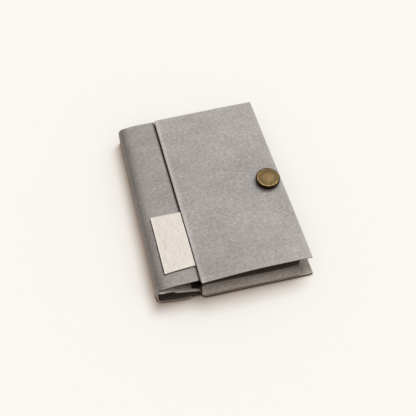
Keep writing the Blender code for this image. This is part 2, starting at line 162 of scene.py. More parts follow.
STUD_NECK_HEIGHT = 0.0007
STUD_HEAD_RADIUS = 0.0021
STUD_HEIGHT = 0.0013
STUD_BORE_RADIUS = 0.0015
STUD_ROOF = 0.0004
RIVET_FLANGE_RADIUS = 0.0040
RIVET_FLANGE_HEIGHT = 0.0006
RIVET_DEPTH_IN_BORE = 0.0013
METAL_EDGE = 0.00015

# How finely shapes are cut
SHEET_STEP = 0.0016
EDGE_BAND = 0.0005
FOLD_STEPS = 8
ROUND_STEPS = 96
CORNER_STEPS = 4
SPRING_STEPS = 60
HOLE_BLOCK = 0.0030
CUT_EDGE_BEVEL = 0.00008
CUT_EDGE_STEPS = 2
SHARP_ANGLE = math.radians(60)
SMALLEST_STEP = 1e-7

# Soft unevenness of the sheets
RIPPLE_HEIGHT = 0.00012
RIPPLE_LENGTH = 0.022
RIPPLE_STILL = 0.007
RIPPLE_SEED = 2

# How much of its gap the tab closes below the strip at the rear, and how sharply it gets there
TAB_CLOSED_SHARE = 0.8
TAB_CLOSED_TURN = 4

# Painted shade that takes away from a sheet's own colour and painted light that adds to it, and where,
# with a few plain darkenings
# A plain darkening of the cover, and of the back panel right of the wall
STRIP_DARKENING = 0.13
# Painted shade along the spine's rounding, where it turns away from the light, reaching less far on
# its outer side
SPINE_PAINTED_SHADE = 0.42
SPINE_PAINTED_SHADE_X = 0.0018
SPINE_PAINTED_SHADE_REACH = 0.0026
SPINE_PAINTED_SHADE_OUTER_REACH = 0.0009
# Painted shade in the gap where the strip turns down at the wall, and down the strip's tab
GAP_PAINTED_SHADE = 0.55
TAB_PAINTED_SHADE = 0.25
# Painted shadow on the cover along the label's left edge
LABEL_PAINTED_SHADOW = 0.75
# Painted light on the spine's side, as from the floor
SIDE_PAINTED_LIGHT = 0.40
# Painted light on the spine's and the leg's cut edges at the cover's front end
EDGE_PAINTED_LIGHT = 1.0
LEG_EDGE_PAINTED_LIGHT = 2.2
# More painted light at the foot of the spine's side
FOOT_PAINTED_LIGHT = 0.8
FOOT_PAINTED_LIGHT_REACH = 0.0025
# The flap a little darker towards its front left
FLAP_FRONT_LEFT_DARKENING = 0.09
# Painted shade down the flap's wall, below its crease
WALL_PAINTED_SHADE = 0.6
# Painted highlight along the flap's crease
CREASE_PAINTED_HIGHLIGHT = 0.35
# Painted shade inside the tunnel and painted light along the divider's front edge
DIVIDER_PAINTED_SHADE = 0.45
DIVIDER_PAINTED_LIGHT = 0.35
# Painted shade at the divider's tip by the spine
DIVIDER_TIP = 0.0016
DIVIDER_TIP_PAINTED_SHADE = 0.50
DIVIDER_PAINTED_LIGHT_REACH = 0.0036
# Painted shade on the divider's tabs down at the wall
WALL_TAB_PAINTED_SHADE = 0.9
# Painted light at the foot of the pouch's side and painted shade at its head, and a darkening towards
# its right end
GUSSET_PAINTED_LIGHT = 0.50
GUSSET_PAINTED_SHADE = 0.42
GUSSET_END_DARKENING = 0.20
GUSSET_END_SHARE = 0.75
# A slight lift of the tunnel floor's darker inner paper, which is painted shade
TUNNEL_TONE = 1.1
# Painted shadow of the flap on the back panel's front right, with painted light at its front edge
PANEL_PAINTED_SHADOW = 0.36
PANEL_PAINTED_LIGHT = 0.30
PANEL_PAINTED_LIGHT_REACH = 0.0028
PANEL_PAINTED_SHADOW_START_SHARE = 0.05
PANEL_PAINTED_SHADOW_END_SHARE = 0.20

# Places of the materials in a sheet's list: its face, its cut edge, and its inner face, a darker paper
# that paints the shade inside the wallet
CUT = 1
SHADED_INNER = 2

# What each point of a sheet carries: its place on the flat sheet, its wear, which on edges and folds
# also paints a highlight, and its tone, which holds painted light and shade
PLACE = "sheet_place"
WEAR_AND_HIGHLIGHT = "sheet_wear_and_highlight"
TONE = "sheet_tone"

# Camera, fitted to the photo
CAMERA_AZIMUTH = math.radians(-14.92)
CAMERA_ELEVATION = math.radians(56.17)
CAMERA_DISTANCE = 0.3394
CAMERA_TARGET = (-0.0011, -0.0020, 0)
CAMERA_LENS = 58.02
SENSOR_WIDTH = 36
CLIP_START = 0.003
CLIP_END = 8.0

# Light
KEY_AZIMUTH = math.radians(142)
KEY_ELEVATION = math.radians(58)
KEY_STRENGTH = 1.83
KEY_ANGLE = math.radians(36)
KEY_COLOUR = (0.86, 0.95, 1.0)
SKY_COLOUR = (1.0, 0.88, 0.81, 1)
SKY_BRIGHT = 0.80
SKY_DIM = 0.02
SKY_SIDE = (0.85, 0.10, 0.50)

# Floor, as the camera sees it and as it lights the wallet
FLOOR_SIZE = 4.0
FLOOR_DROP = 0.0001
FLOOR_SEEN = (1.0, 0.99, 0.96, 1)
FLOOR_BOUNCE = (0.62, 0.53, 0.45, 1)

# Painted contact shadow and painted warm shade near the wallet, and the places in the frame where they
# fade
CONTACT_REACH = 0.0014
CONTACT_OPEN_SHARE = 0.55
CONTACT_COLOUR = (0.05, 0.03, 0.02, 1)
CONTACT_LEFT = -0.0375
CONTACT_RIGHT = 0.0378
CONTACT_FRONT = -0.0445
CONTACT_RUN = 0.0030
CONTACT_END_RUN = 0.0006
SHADE_REACH = 0.020
SHADE_OPEN_SHARE = 0.5
SHADE_COLOUR = (1.0, 0.93, 0.86, 1)
SHADE_FADE_START = 0.0340
SHADE_FADE_END = 0.0380
SHADE_FADED_SHARE = 0.55

# Heights and places that follow from the sizes above
HALF_PAPER = PAPER / 2
FLAP_MID = FLAP_TOP - HALF_PAPER
FLAP_UNDER = FLAP_TOP - PAPER
FLAP_RIGHT = WALL_X + FLAP_WIDTH
WALL_MID = WALL_X + HALF_PAPER
WALL_RIGHT = WALL_X + PAPER
COVER_MID = COVER_TOP - HALF_PAPER
BACK_MID = HALF_PAPER
UPPER_MID = PAPER + GAP + HALF_PAPER
TAB_MID = WALL_X - GAP - HALF_PAPER
SPINE_MID = HALF_PAPER
SPINE_TAB_MID = PAPER + GAP + HALF_PAPER
BACK_RIGHT = FLAP_RIGHT + BACK_OVERHANG
POUCH_RIGHT = FLAP_RIGHT - POUCH_SET_BACK
POUCH_LEFT = WALL_RIGHT + GAP
POUCH_MID = POUCH_TOP - HALF_PAPER
GUSSET_RIGHT = FLAP_RIGHT - GUSSET_SET_BACK
SNAP_X = FLAP_RIGHT - SNAP_EDGE
SNAP_Y = FLAP_LENGTH / 2 - SNAP_FORWARD
CAP_FOOT = FLAP_TOP + GAP
CAP_TOP = CAP_FOOT + CAP_HEIGHT
SOCKET_TOP = FLAP_UNDER - GAP
SOCKET_FOOT = SOCKET_TOP - SOCKET_HEIGHT
STUD_FOOT = POUCH_TOP + GAP
RIVET_TOP = POUCH_TOP - PAPER - GAP
LABEL_MID_ABOVE = HALF_PAPER + LABEL_GAP + LABEL_THICKNESS / 2
LABEL_RIGHT = WALL_X - LABEL_WALL_GAP
COVER_LENGTH = FLAP_LENGTH - COVER_REAR_SET_BACK - COVER_SET_BACK
LABEL_START_SHARE = (LABEL_FRONT - COVER_SET_BACK) / COVER_LENGTH
LABEL_END_SHARE = (LABEL_FRONT + LABEL_LENGTH - COVER_SET_BACK) / COVER_LENGTH
ORIGIN_X = BACK_RIGHT / 2
ORIGIN_Y = (FLAP_LENGTH - BACK_SKEW) / 2


def in_frame(x, y, z):
    """A place on the wallet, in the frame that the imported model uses."""
    return Vector((x - ORIGIN_X, y - ORIGIN_Y, z))


def between(start, end, share):
    """The value or point a share of the way from start to end."""
    return start + (end - start) * share


def curve(start, corner, end, steps):
    """Points from start to end on a smooth curve that stays inside their corner."""
    shares = [step / steps for step in range(steps + 1)]
    return [
        between(between(start, corner, share), between(corner, end, share), share)
        for share in shares
    ]


def fading(distance, reach):
    """1 at no distance, and less and less past a reach."""
    return math.exp(-distance / reach)


def bell(distance, reach):
    """1 at no distance, falling smoothly to both sides."""
    return math.exp(-((distance / reach) ** 2))


def smooth_share(value, low, high):
    """0 below low, 1 above high, eased between."""
    share = min(1, max(0, (value - low) / (high - low)))
    return share * share * (3 - 2 * share)


def linked(name, data):
    """A new object in the scene."""
    made = bpy.data.objects.new(name, data)
    bpy.context.scene.collection.objects.link(made)
    return made


def mesh_from(work, name):
    """The mesh that a finished bmesh becomes."""
    mesh = bpy.data.meshes.new(name)
    work.to_mesh(mesh)
    work.free()
    return mesh


# Sections and grids of sheets

def folded(corners, runs):
    """A sheet's section through its corners. Each inner corner is rounded over its own run."""
    points = [Vector(corners[0])]
    for before, corner, after, run in zip(corners, corners[1:], corners[2:], runs):
        corner = Vector(corner)
        start = corner + (Vector(before) - corner).normalized() * run
        end = corner + (Vector(after) - corner).normalized() * run
        points += curve(start, corner, end, FOLD_STEPS)
    points.append(Vector(corners[-1]))
    return points


def lengths_along(points):
    """Distance of each point of a section from its start."""
    lengths = [0]
    for before, after in zip(points, points[1:]):
        lengths.append(lengths[-1] + (after - before).length)
    return lengths


def spread(start, end):
    """Positions from start to end, close to both ends and even between them."""
    inner_start = start + EDGE_BAND
    inner_end = end - EDGE_BAND
    count = max(1, math.ceil((inner_end - inner_start) / SHEET_STEP))
    inner = [between(inner_start, inner_end, step / count) for step in range(count + 1)]
    return [start, *inner, end]


def at_length(points, lengths, wanted):
    """The point of a section at a distance from its start."""
    for before, after, low, high in zip(points, points[1:], lengths, lengths[1:]):
        if wanted <= high:
            return between(before, after, (wanted - low) / max(high - low, SMALLEST_STEP))
    return points[-1]


def refined(points):
    """A section with more points on its straight stretches, as (distance, point) pairs."""
    lengths = lengths_along(points)
    wanted = list(lengths)
    for length in spread(0, lengths[-1]):
        nearest = min(abs(length - other) for other in lengths)
        if nearest > EDGE_BAND / 2:
            wanted.append(length)
    wanted.sort()
    return [(length, at_length(points, lengths, length)) for length in wanted]


def with_stop(points, x):
    """A section with one more point, where it first passes x."""
    for index, (before, after) in enumerate(zip(points, points[1:])):
        if before.x < x < after.x:
            share = (x - before.x) / (after.x - before.x)
            return [*points[:index + 1], between(before, after, share), *points[index + 1:]]
    return points


def ripple(place):
    """How far a sheet stands off its plain form. Neighbouring sheets move together."""
    still = smooth_share(math.dist(place[:2], (SNAP_X, SNAP_Y)), RIPPLE_STILL, RIPPLE_LENGTH)
    return noise.noise_vector(Vector(place) / RIPPLE_LENGTH) * RIPPLE_HEIGHT * still


def edge_falloff(distance):
    """How strongly a mark near an edge shows at a distance from it: the wear and highlight of edges,
    and painted light on the cover's cut edges.
    """
    return fading(max(0, distance), EDGE_BAND)


def plain_tone(point, share):
    """A sheet's own colour everywhere, with no painted light or shade."""
    return 1


def make_sheet(
    name, section, length, place, materials, keep=None, hole=None, tone=plain_tone, marks=(),
):
    """A sheet whose section is carried along its length by place(point, share)."""
    columns = refined(section)
    stations = sorted([*spread(0, length), *marks])
    turns = fold_wear_and_highlight(columns)
    work = bmesh.new()
    place_layer = work.verts.layers.float_vector.new(PLACE)
    wear_and_highlight_layer = work.verts.layers.float.new(WEAR_AND_HIGHLIGHT)
    tone_layer = work.verts.layers.float.new(TONE)
    grid = []
    for station in stations:
        row = []
        for (distance, point), turn in zip(columns, turns):
            plain = place(point, station / length)
            vert = work.verts.new(in_frame(*plain) + ripple(plain))
            vert[place_layer] = (distance, station, 0)
            nearest = min(distance, columns[-1][0] - distance, station, length - station)
            vert[wear_and_highlight_layer] = max(edge_falloff(nearest), turn)
            vert[tone_layer] = tone(point, station / length)
            row.append(vert)
        grid.append(row)
    for near, far in zip(grid, grid[1:]):
        for index in range(len(near) - 1):
            face = work.faces.new((near[index], near[index + 1], far[index + 1], far[index]))
            face.smooth = True
            if keep and not keep(face.calc_center_median() - in_frame(0, 0, 0)):
                work.faces.remove(face)
    if hole:
        open_hole(work, grid, hole, (place_layer, wear_and_highlight_layer, tone_layer))
    loose = [vert for vert in work.verts if not vert.link_faces]
    bmesh.ops.delete(work, geom=loose, context="VERTS")
    sheet = linked(name, mesh_from(work, name))
    for material in materials:
        sheet.data.materials.append(material)
    return sheet


def fold_wear_and_highlight(columns):
    """How much each point of a section is lightened by being on a fold: wear that also paints the
    fold's highlight.
    """
    turns = [0]
    for (_, before), (_, point), (_, after) in zip(columns, columns[1:], columns[2:]):
        bend = (point - before).angle(after - point, 0)
        turns.append(min(1, bend * FOLD_STEPS / math.pi))
    turns.append(0)
    return turns


def open_hole(work, grid, radius, layers):
    """Opens a round hole about the snap's axis, with its rim bridged to the grid around it."""
    centre = in_frame(SNAP_X, SNAP_Y, 0).to_2d()

    def outer_index(values, middle, sign):
        outside = [index for index, value in enumerate(values) if sign * (value - middle) > HOLE_BLOCK]
        return outside[0] if sign > 0 else outside[-1]

    first_row = [vert.co.x for vert in grid[len(grid) // 2]]
    left = outer_index(first_row, centre.x, -1)
    right = outer_index(first_row, centre.x, 1)
    column = [row[left].co.y for row in grid]
    front = outer_index(column, centre.y, -1)
    rear = outer_index(column, centre.y, 1)
    border = [grid[front][index] for index in range(left, right)]
    border += [grid[index][right] for index in range(front, rear)]
    border += [grid[rear][index] for index in range(right, left, -1)]
    border += [grid[index][left] for index in range(rear, front, -1)]
    inner = [vert for row in grid[front + 1:rear] for vert in row[left + 1:right]]
    bmesh.ops.delete(work, geom=inner, context="VERTS")
    rim = []
    for vert in border:
        outwards = (vert.co.to_2d() - centre).normalized()
        rim_vert = work.verts.new((*(centre + outwards * radius), vert.co.z))
        for layer in layers:
            rim_vert[layer] = vert[layer]
        rim.append(rim_vert)
    for index, vert in enumerate(border):
        after = (index + 1) % len(border)
        face = work.faces.new((vert, border[after], rim[after], rim[index]))
        face.smooth = True


def thicken(sheet, thickness, shaded_inside=False):
    """Gives a sheet its thickness, with its second material on its cut edges, and on request its
    third, a darker paper that paints the shade inside the wallet, on its inner face.
    """
    solidify = sheet.modifiers.new("thickness", "SOLIDIFY")
    solidify.thickness = thickness
    solidify.offset = 0
    solidify.use_even_offset = True
    solidify.material_offset_rim = CUT
    if shaded_inside:
        solidify.material_offset = SHADED_INNER
    bevel = sheet.modifiers.new("cut edge", "BEVEL")
    bevel.width = CUT_EDGE_BEVEL
    bevel.segments = CUT_EDGE_STEPS
    bevel.limit_method = "ANGLE"
    bevel.angle_limit = SHARP_ANGLE
    bevel.harden_normals = True


def leaned(x):
    """How far the rear end of the spine side stands in from its front end."""
    return SPINE_LEAN * max(0, 1 - x / TAB_MID)


def corner_cut(x, end, run, cut):
    """How far an edge is cut back at x, by the corner at its end."""
    return cut * (max(0, x - end + run) / run) ** 2


def leg_front(x):
    """Front edge of the cover's leg, which comes forward from the spine and is cut back at its end."""
    forward = LEG_SKEW * math.sqrt(min(1, max(0, x) / COVER_LEG))
    return COVER_SET_BACK - forward + corner_cut(x, COVER_LEG, LEG_CORNER_RUN, LEG_CORNER_CUT)


def open_share(x):
    """0 at the wall and 1 at the back panel's open edge."""
    return max(0, x - WALL_X) / (BACK_RIGHT - WALL_X)


def back_shift(x):
    """How far the back panel has come forward at x, right of the wall."""
    return BACK_SKEW * open_share(x)


def back_front(x):
    """Front edge of the back panel, right of the wall."""
    return -BACK_FORWARD - BACK_FRONT_SKEW * open_share(x)


def pouch_height(x):
    """Middle of the pouch's upper panel, which falls smoothly from the wall."""
    fall = smooth_share(x, POUCH_LEFT, POUCH_LEFT + POUCH_SLOPE_RUN)
    return POUCH_MID + (POUCH_WALL_TOP - POUCH_TOP) * (1 - fall)


def pouch_rear(x):
    """Rear edge of the pouch's upper panel, which keeps in line with the back panel."""
    return FLAP_LENGTH - POUCH_REAR_INSET - back_shift(x)


# Paper pieces

def cover_section():
    """Section of the cover: leg, spine, crowned strip and tab."""
    section = folded(
        [
            (COVER_LEG, BACK_MID),
            (SPINE_MID, BACK_MID),
            (SPINE_MID, SPINE_SHOULDER),
            (CROWN_X, COVER_MID),
            (TAB_MID, COVER_MID),
            (TAB_MID, COVER_MID - COVER_TAB),
        ],
        [SPINE_BOTTOM_RUN, SPINE_TOP_RUN, CROWN_RUN, TAB_BEND_RUN],
    )
    # Stops for the painted shadow line beside the label's left edge
    for stop in (LABEL_LEFT - LABEL_LINE, LABEL_LEFT - LABEL_LINE / 2, LABEL_LEFT):
        section = with_stop(section, stop)
    return section


def cover_tone(point, share):
    """The cover's painted light and shade over a plain darkening: painted shade along the spine's
    rounding, in the gap and down the tab, a painted shadow beside the label, and painted light on the
    spine's side, its foot and its front cut edges.
    """
    x, z = point
    beside_label = abs(x - LABEL_LEFT) < LABEL_LINE * LABEL_LINE_DARK_SHARE and z > SPINE_SHOULDER
    if beside_label and LABEL_START_SHARE < share < LABEL_END_SHARE:
        return 1 - LABEL_PAINTED_SHADOW
    reach = SPINE_PAINTED_SHADE_REACH if x > SPINE_PAINTED_SHADE_X else SPINE_PAINTED_SHADE_OUTER_REACH
    spine = SPINE_PAINTED_SHADE * bell(x - SPINE_PAINTED_SHADE_X, reach)
    gap = GAP_PAINTED_SHADE * smooth_share(x, TAB_MID - 2 * TAB_BEND_RUN, TAB_MID)
    below = 1 - smooth_share(z, SPINE_SHOULDER - SPINE_TOP_RUN, SPINE_SHOULDER)
    if x > TAB_MID - PAPER:
        return 1 - STRIP_DARKENING - gap - TAB_PAINTED_SHADE * below
    on_leg = 1 - smooth_share(z, PAPER, SPINE_BOTTOM_RUN)
    cut = between(EDGE_PAINTED_LIGHT, LEG_EDGE_PAINTED_LIGHT, on_leg) * edge_falloff(share * FLAP_LENGTH)
    foot = FOOT_PAINTED_LIGHT * (1 - smooth_share(z, 0, FOOT_PAINTED_LIGHT_REACH)) * (x < SPINE_BOTTOM_RUN)
    return 1 - STRIP_DARKENING - spine + below * (SIDE_PAINTED_LIGHT + foot + cut)


def make_cover(papers):
    """Leg, rounded spine and crowned front strip, whose tab comes to lean at its rear end."""
    def place(point, share):
        x, z = point
        on_leg = smooth_share(z, SPINE_BOTTOM_RUN, BACK_MID)
        down_tab = (COVER_MID - z) / COVER_TAB * (x > TAB_MID - PAPER)
        front = between(COVER_SET_BACK, leg_front(x), on_leg) + TAB_FRONT_INSET * down_tab
        y = between(front, FLAP_LENGTH - COVER_REAR_SET_BACK, share)
        by_tab = smooth_share(x, TAB_MID - 2 * TAB_BEND_RUN, TAB_MID - TAB_BEND_RUN)
        closing = smooth_share(share * FLAP_LENGTH, FLAP_LENGTH - TAB_CLOSING, FLAP_LENGTH)
        lean = TAB_LEAN * share * by_tab * max(0, 1 - down_tab * between(1, TAB_CLOSED_TURN, closing))
        lean -= GAP * TAB_CLOSED_SHARE * closing * min(1, down_tab * TAB_CLOSED_TURN)
        by_spine = 1 - smooth_share(x, SPINE_MID, CROWN_X)
        tuck = SPINE_TUCK * fading(y - front, SPINE_TUCK_REACH) * by_spine
        return x + leaned(x) * share - lean + tuck, y, z

    # Stations where the painted shadow beside the label starts and ends
    ends = (FLAP_LENGTH * LABEL_START_SHARE, FLAP_LENGTH * LABEL_END_SHARE)
    marks = [end + side * LABEL_LINE_FADE for end in ends for side in (-1, 1)]
    section = cover_section()
    cover = make_sheet(
        "cover_sheet", section, FLAP_LENGTH, place, papers, tone=cover_tone, marks=marks
    )
    thicken(cover, PAPER, shaded_inside=True)
    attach(cover, "shell")
    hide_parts("spine_cover")


def back_tone(point, share):
    """The back panel's painted shadow of the flap, strongest beside the pouch's side and less at its
    front edge, which has painted light; the tunnel floor takes a plain tone.
    """
    if point[0] < WALL_X:
        return TUNNEL_TONE
    at_end = 1 - smooth_share(share, PANEL_PAINTED_SHADOW_START_SHARE, PANEL_PAINTED_SHADOW_END_SHARE)
    at_edge = bell(share * FLAP_LENGTH, PANEL_PAINTED_LIGHT_REACH)
    return 1 - STRIP_DARKENING - PANEL_PAINTED_SHADOW * at_end + PANEL_PAINTED_LIGHT * at_edge


def make_back(papers, panel_shaded_papers):
    """Panel glued on the cover's leg, which steps down to the table past the leg's end."""
    left = SPINE_BOTTOM_RUN + GAP
    jog_start = COVER_LEG + GAP
    jog_end = jog_start + BACK_JOG
    section = folded(
        [(left, UPPER_MID), (jog_start, UPPER_MID), (jog_end, BACK_MID), (BACK_RIGHT, BACK_MID)],
        [BACK_JOG_RUN] * 2,
    )

    def place(point, share):
        x, z = point
        past_wall = smooth_share(x, WALL_X, WALL_RIGHT)
        left_front = leg_front(min(x, COVER_LEG)) + BACK_STEP
        front = between(left_front, back_front(x), past_wall)
        corner = corner_cut(x, BACK_RIGHT, BACK_CORNER_RUN, BACK_CORNER_CUT)
        rear = FLAP_LENGTH - back_shift(x)
        return x + leaned(x) * share, between(front + corner, rear - corner, share), z

    materials = [*panel_shaded_papers, papers[SHADED_INNER], papers[SHADED_INNER]]
    back = make_sheet("back_sheet", section, FLAP_LENGTH, place, materials, tone=back_tone)
    # Left of the wall the panel's top takes the darker inner paper, painted shade of the tunnel
    for face in back.data.polygons:
        if face.center.x < in_frame(WALL_X, 0, 0).x:
            face.material_index = SHADED_INNER
    thicken(back, PAPER)
    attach(back, "shell")
    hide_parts("back_panel")


def flap_tone(point, share):
    """Painted highlight along the crease, painted shade down the wall, and a little darker towards the
    front left.
    """
    x, z = point
    if z < FLAP_MID - CREASE_RUN:
        return 1 - WALL_PAINTED_SHADE
    crease = CREASE_PAINTED_HIGHLIGHT * bell(x - WALL_RIGHT, CREASE_RUN)
    corner = FLAP_FRONT_LEFT_DARKENING * (1 - share) * (1 - smooth_share(x, WALL_X, FLAP_RIGHT))
    return 1 + crease - corner


def make_flap(papers):
    """The flap, its soft crease, the wall below it and the wall's foot, as one sheet."""
    foot_end = WALL_MID + WALL_FOOT
    section = folded(
        [(foot_end, UPPER_MID), (WALL_MID, UPPER_MID), (WALL_MID, FLAP_MID), (FLAP_RIGHT, FLAP_MID)],
        [FOOT_RUN, CREASE_RUN],
    )

    def place(point, share):
        x, z = point
        below = 1 - smooth_share(z, FLAP_MID - 2 * CREASE_RUN, FLAP_MID)
        across = math.sin(math.pi * max(0, x - WALL_X) / FLAP_WIDTH)
        bow = FLAP_BOW * across * fading(FLAP_LENGTH * share, FLAP_BOW_REACH)
        front = WALL_FRONT_INSET * below
        rear = FLAP_LENGTH - WALL_REAR_INSET * below
        return x, between(front, rear, share), z + bow

    def keep(centre):
        on_foot = centre.z < UPPER_MID + FOOT_RUN and centre.x > WALL_MID + FOOT_RUN / 2
        return not on_foot or WALL_FOOT_INSET < centre.y < FLAP_LENGTH - WALL_FOOT_INSET

    hole = POST_RADIUS + GAP
    flap = make_sheet("flap_sheet", section, FLAP_LENGTH, place, papers, keep, hole, tone=flap_tone)
    thicken(flap, PAPER, shaded_inside=True)
    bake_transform(flap)
    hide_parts("front_flap", "flap_wall")


def divider_tone(point, share):
    """Painted light along the divider's front edge, painted shade inside the tunnel and at its tip,
    and dark painted shade down at the wall.
    """
    y = share * FLAP_LENGTH
    on_tab = point[0] > TAB_MID - DIVIDER_FOLD_RUN
    if on_tab and (y > SLOT_EAR or point[1] < DIVIDER_LOW - PAPER):
        return 1 - WALL_TAB_PAINTED_SHADE
    reach = between(DIVIDER_PAINTED_LIGHT_REACH, SLOT_EAR, point[0] / TAB_MID)
    front = bell(y, reach)
    tip = 1 - smooth_share(point[0], SPINE_TAB_MID, SPINE_TAB_MID + DIVIDER_TIP)
    return between(1 - DIVIDER_PAINTED_SHADE, 1 + DIVIDER_PAINTED_LIGHT, front) * (1 - DIVIDER_TIP_PAINTED_SHADE * tip)


def make_divider(papers):
    """Sloping sheet in the tunnel, slotted beside the wall."""
    high = DIVIDER_HIGH - HALF_PAPER
    low = DIVIDER_LOW - HALF_PAPER
    section = folded(
        [
            (SPINE_TAB_MID, high - DIVIDER_SPINE_TAB),
            (SPINE_TAB_MID, high),
            (TAB_MID, low),
            (TAB_MID, low - DIVIDER_WALL_TAB),
        ],
        [DIVIDER_SPINE_RUN, DIVIDER_FOLD_RUN],
    )
    slot_right = TAB_MID - DIVIDER_FOLD_RUN
    slot_left = slot_right - SLOT_WIDTH
    for stop in (SPINE_TAB_MID + DIVIDER_TIP / 2, SPINE_TAB_MID + DIVIDER_TIP, slot_left):
        section = with_stop(section, stop)
    rear = FLAP_LENGTH - COVER_REAR_SET_BACK
    ear = SLOT_EAR * FLAP_LENGTH / (rear - DIVIDER_FRONT)

    def place(point, share):
        x, z = point
        down_tab = max(0, high - DIVIDER_SPINE_RUN - z) / DIVIDER_SPINE_TAB * (x < slot_left / 2)
        front = DIVIDER_FRONT + DIVIDER_FRONT_SKEW * (1 - x / TAB_MID) + DIVIDER_TAB_INSET * down_tab
        return x + leaned(x) * share, between(front, rear, share), z

    def keep(centre):
        beside_wall = slot_left < centre.x < slot_right
        between_ears = DIVIDER_FRONT + SLOT_EAR < centre.y < rear - SLOT_EAR
        return not (beside_wall and between_ears)

    marks = (ear, FLAP_LENGTH - ear)
    divider = make_sheet(
        "divider_sheet", section, FLAP_LENGTH, place, papers, keep, tone=divider_tone, marks=marks
    )
    thicken(divider, PAPER, shaded_inside=True)
    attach(divider, "shell")
    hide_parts("pocket_divider")


def make_pouch(papers):
    """Upper panel of the pouch, which carries the stud and has its free corners cut off."""
    count = math.ceil((POUCH_RIGHT - POUCH_LEFT) / SHEET_STEP)
    places = [between(POUCH_LEFT, POUCH_RIGHT, step / count) for step in range(count + 1)]
    section = [Vector((x, pouch_height(x))) for x in places]

    def place(point, share):
        x, z = point
        corner = POUCH_CORNER * max(0, x - GUSSET_RIGHT) / (POUCH_RIGHT - GUSSET_RIGHT)
        return x, between(POUCH_FRONT + corner, pouch_rear(x) - corner, share), z

    # The upper panel is all darker inner paper, painted shade under the flap
    inner = [papers[SHADED_INNER], papers[CUT]]
    pouch = make_sheet("pouch_sheet", section, FLAP_LENGTH, place, inner, hole=STUD_BORE_RADIUS)
    thicken(pouch, PAPER)
    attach(pouch, "pouch_lid")
    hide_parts("pouch_panel")


def front_gusset_line(x):
    """Foot and head of the front gusset, which leans in above the back panel's skew edge."""
    return GUSSET_FOOT_INSET + back_front(x), POUCH_FRONT + HALF_PAPER


def rear_gusset_line(x):
    """Foot and head of the rear gusset."""
    return FLAP_LENGTH - GUSSET_FOOT_INSET - back_shift(x), pouch_rear(x) - HALF_PAPER


def make_gusset(node, left, line, inwards, papers):
    """Side of the pouch, glued on the back panel and under the upper panel."""
    height = POUCH_MID - UPPER_MID
    section = folded(
        [(GUSSET_LEG, 0), (0, 0), (0, height), (GUSSET_LEG, height)],
        [GUSSET_FOLD_RUN] * 2,
    )

    def head_height(x):
        return pouch_height(x) - PAPER - GAP

    def place(point, share):
        x = between(left, GUSSET_RIGHT, share)
        foot, head = line(x)
        rise = point[1] / height
        y = between(foot, head, rise) + inwards * point[0]
        return x, y, between(UPPER_MID, head_height(x), rise)

    def tone(point, share):
        # Painted light at the foot, painted shade at the head, and darker towards the right end
        at_end = GUSSET_END_DARKENING * smooth_share(share, GUSSET_END_SHARE, 1)
        return between(1 + GUSSET_PAINTED_LIGHT, 1 - GUSSET_PAINTED_SHADE, point[1] / height) - at_end

    def keep(centre):
        above_foot = centre.z > UPPER_MID + HALF_PAPER
        below_head = centre.z < head_height(centre.x) - HALF_PAPER
        return centre.x > POUCH_LEFT or (above_foot and below_head)

    length = GUSSET_RIGHT - left
    gusset = make_sheet(f"{node}_sheet", section, length, place, papers, keep, tone=tone)
    thicken(gusset, PAPER)
    end = in_frame(0, 0, head_height(GUSSET_RIGHT) - HALF_PAPER)
    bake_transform(gusset)
    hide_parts(node)


def make_label(cottons):
    """Bare label of cotton cloth, cut a little askew, whose front and left edges lift."""
    section = []
    for _, point in refined(cover_section()):
        on_strip = point.y > SPINE_SHOULDER and LABEL_LEFT < point.x < TAB_MID - TAB_BEND_RUN
        if on_strip:
            section.append(Vector((point.x, point.y + LABEL_MID_ABOVE)))
    section[0].x = LABEL_LEFT
    section.append(Vector((LABEL_RIGHT, section[-1].y)))

    def place(point, share):
        x, z = point
        across = (x - LABEL_LEFT) / (LABEL_RIGHT - LABEL_LEFT)
        skew = between(LABEL_FRONT_SKEW, LABEL_REAR_SKEW, share) * across
        nearest = min(x - LABEL_LEFT, LABEL_LENGTH * share)
        lift = LABEL_LIFT * fading(nearest, LABEL_LIFT_REACH)
        return x, LABEL_FRONT + LABEL_LENGTH * share + skew, z + lift

    label = make_sheet("label_cloth", section, LABEL_LENGTH, place, cottons)
    thicken(label, LABEL_THICKNESS)
    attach(label, "shell")
    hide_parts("label")


# Snap fastener

def rounded(profile, radius):
    """A turned profile with each inner corner rounded."""
    corners = [Vector(point) for point in profile]
    points = [corners[0]]
    for before, corner, after in zip(corners, corners[1:], corners[2:]):
        into = before - corner
        out = after - corner
        run = min(radius, into.length / 2, out.length / 2)
        start = corner + into.normalized() * run
        end = corner + out.normalized() * run
        points += curve(start, corner, end, CORNER_STEPS)
    points.append(corners[-1])
    return points


def make_turned(name, node, body, profile, material, closed=False):
    """A round piece about the snap's axis, from (radius, height) points."""
    work = bmesh.new()
    rings = []
    for radius, height in profile:
        if radius == 0:
            rings.append([work.verts.new((0, 0, height))] * ROUND_STEPS)
            continue
        ring = []
        for step in range(ROUND_STEPS):
            angle = 2 * math.pi * step / ROUND_STEPS
            ring.append(work.verts.new((radius * math.cos(angle), radius * math.sin(angle), height)))
        rings.append(ring)
    if closed:
        rings.append(rings[0])
    for upper, lower in zip(rings, rings[1:]):
        for step in range(ROUND_STEPS):
            after = (step + 1) % ROUND_STEPS
            corners = [upper[step], upper[after], lower[after], lower[step]]
            face = work.faces.new(list(dict.fromkeys(corners)))
            face.smooth = True
    bmesh.ops.recalc_face_normals(work, faces=work.faces)
    piece = linked(name, mesh_from(work, name))
    piece.data.set_sharp_from_angle(angle=SHARP_ANGLE)
    piece.data.materials.append(material)
    piece.location = in_frame(SNAP_X, SNAP_Y, 0)
    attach(piece, body)
    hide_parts(node)


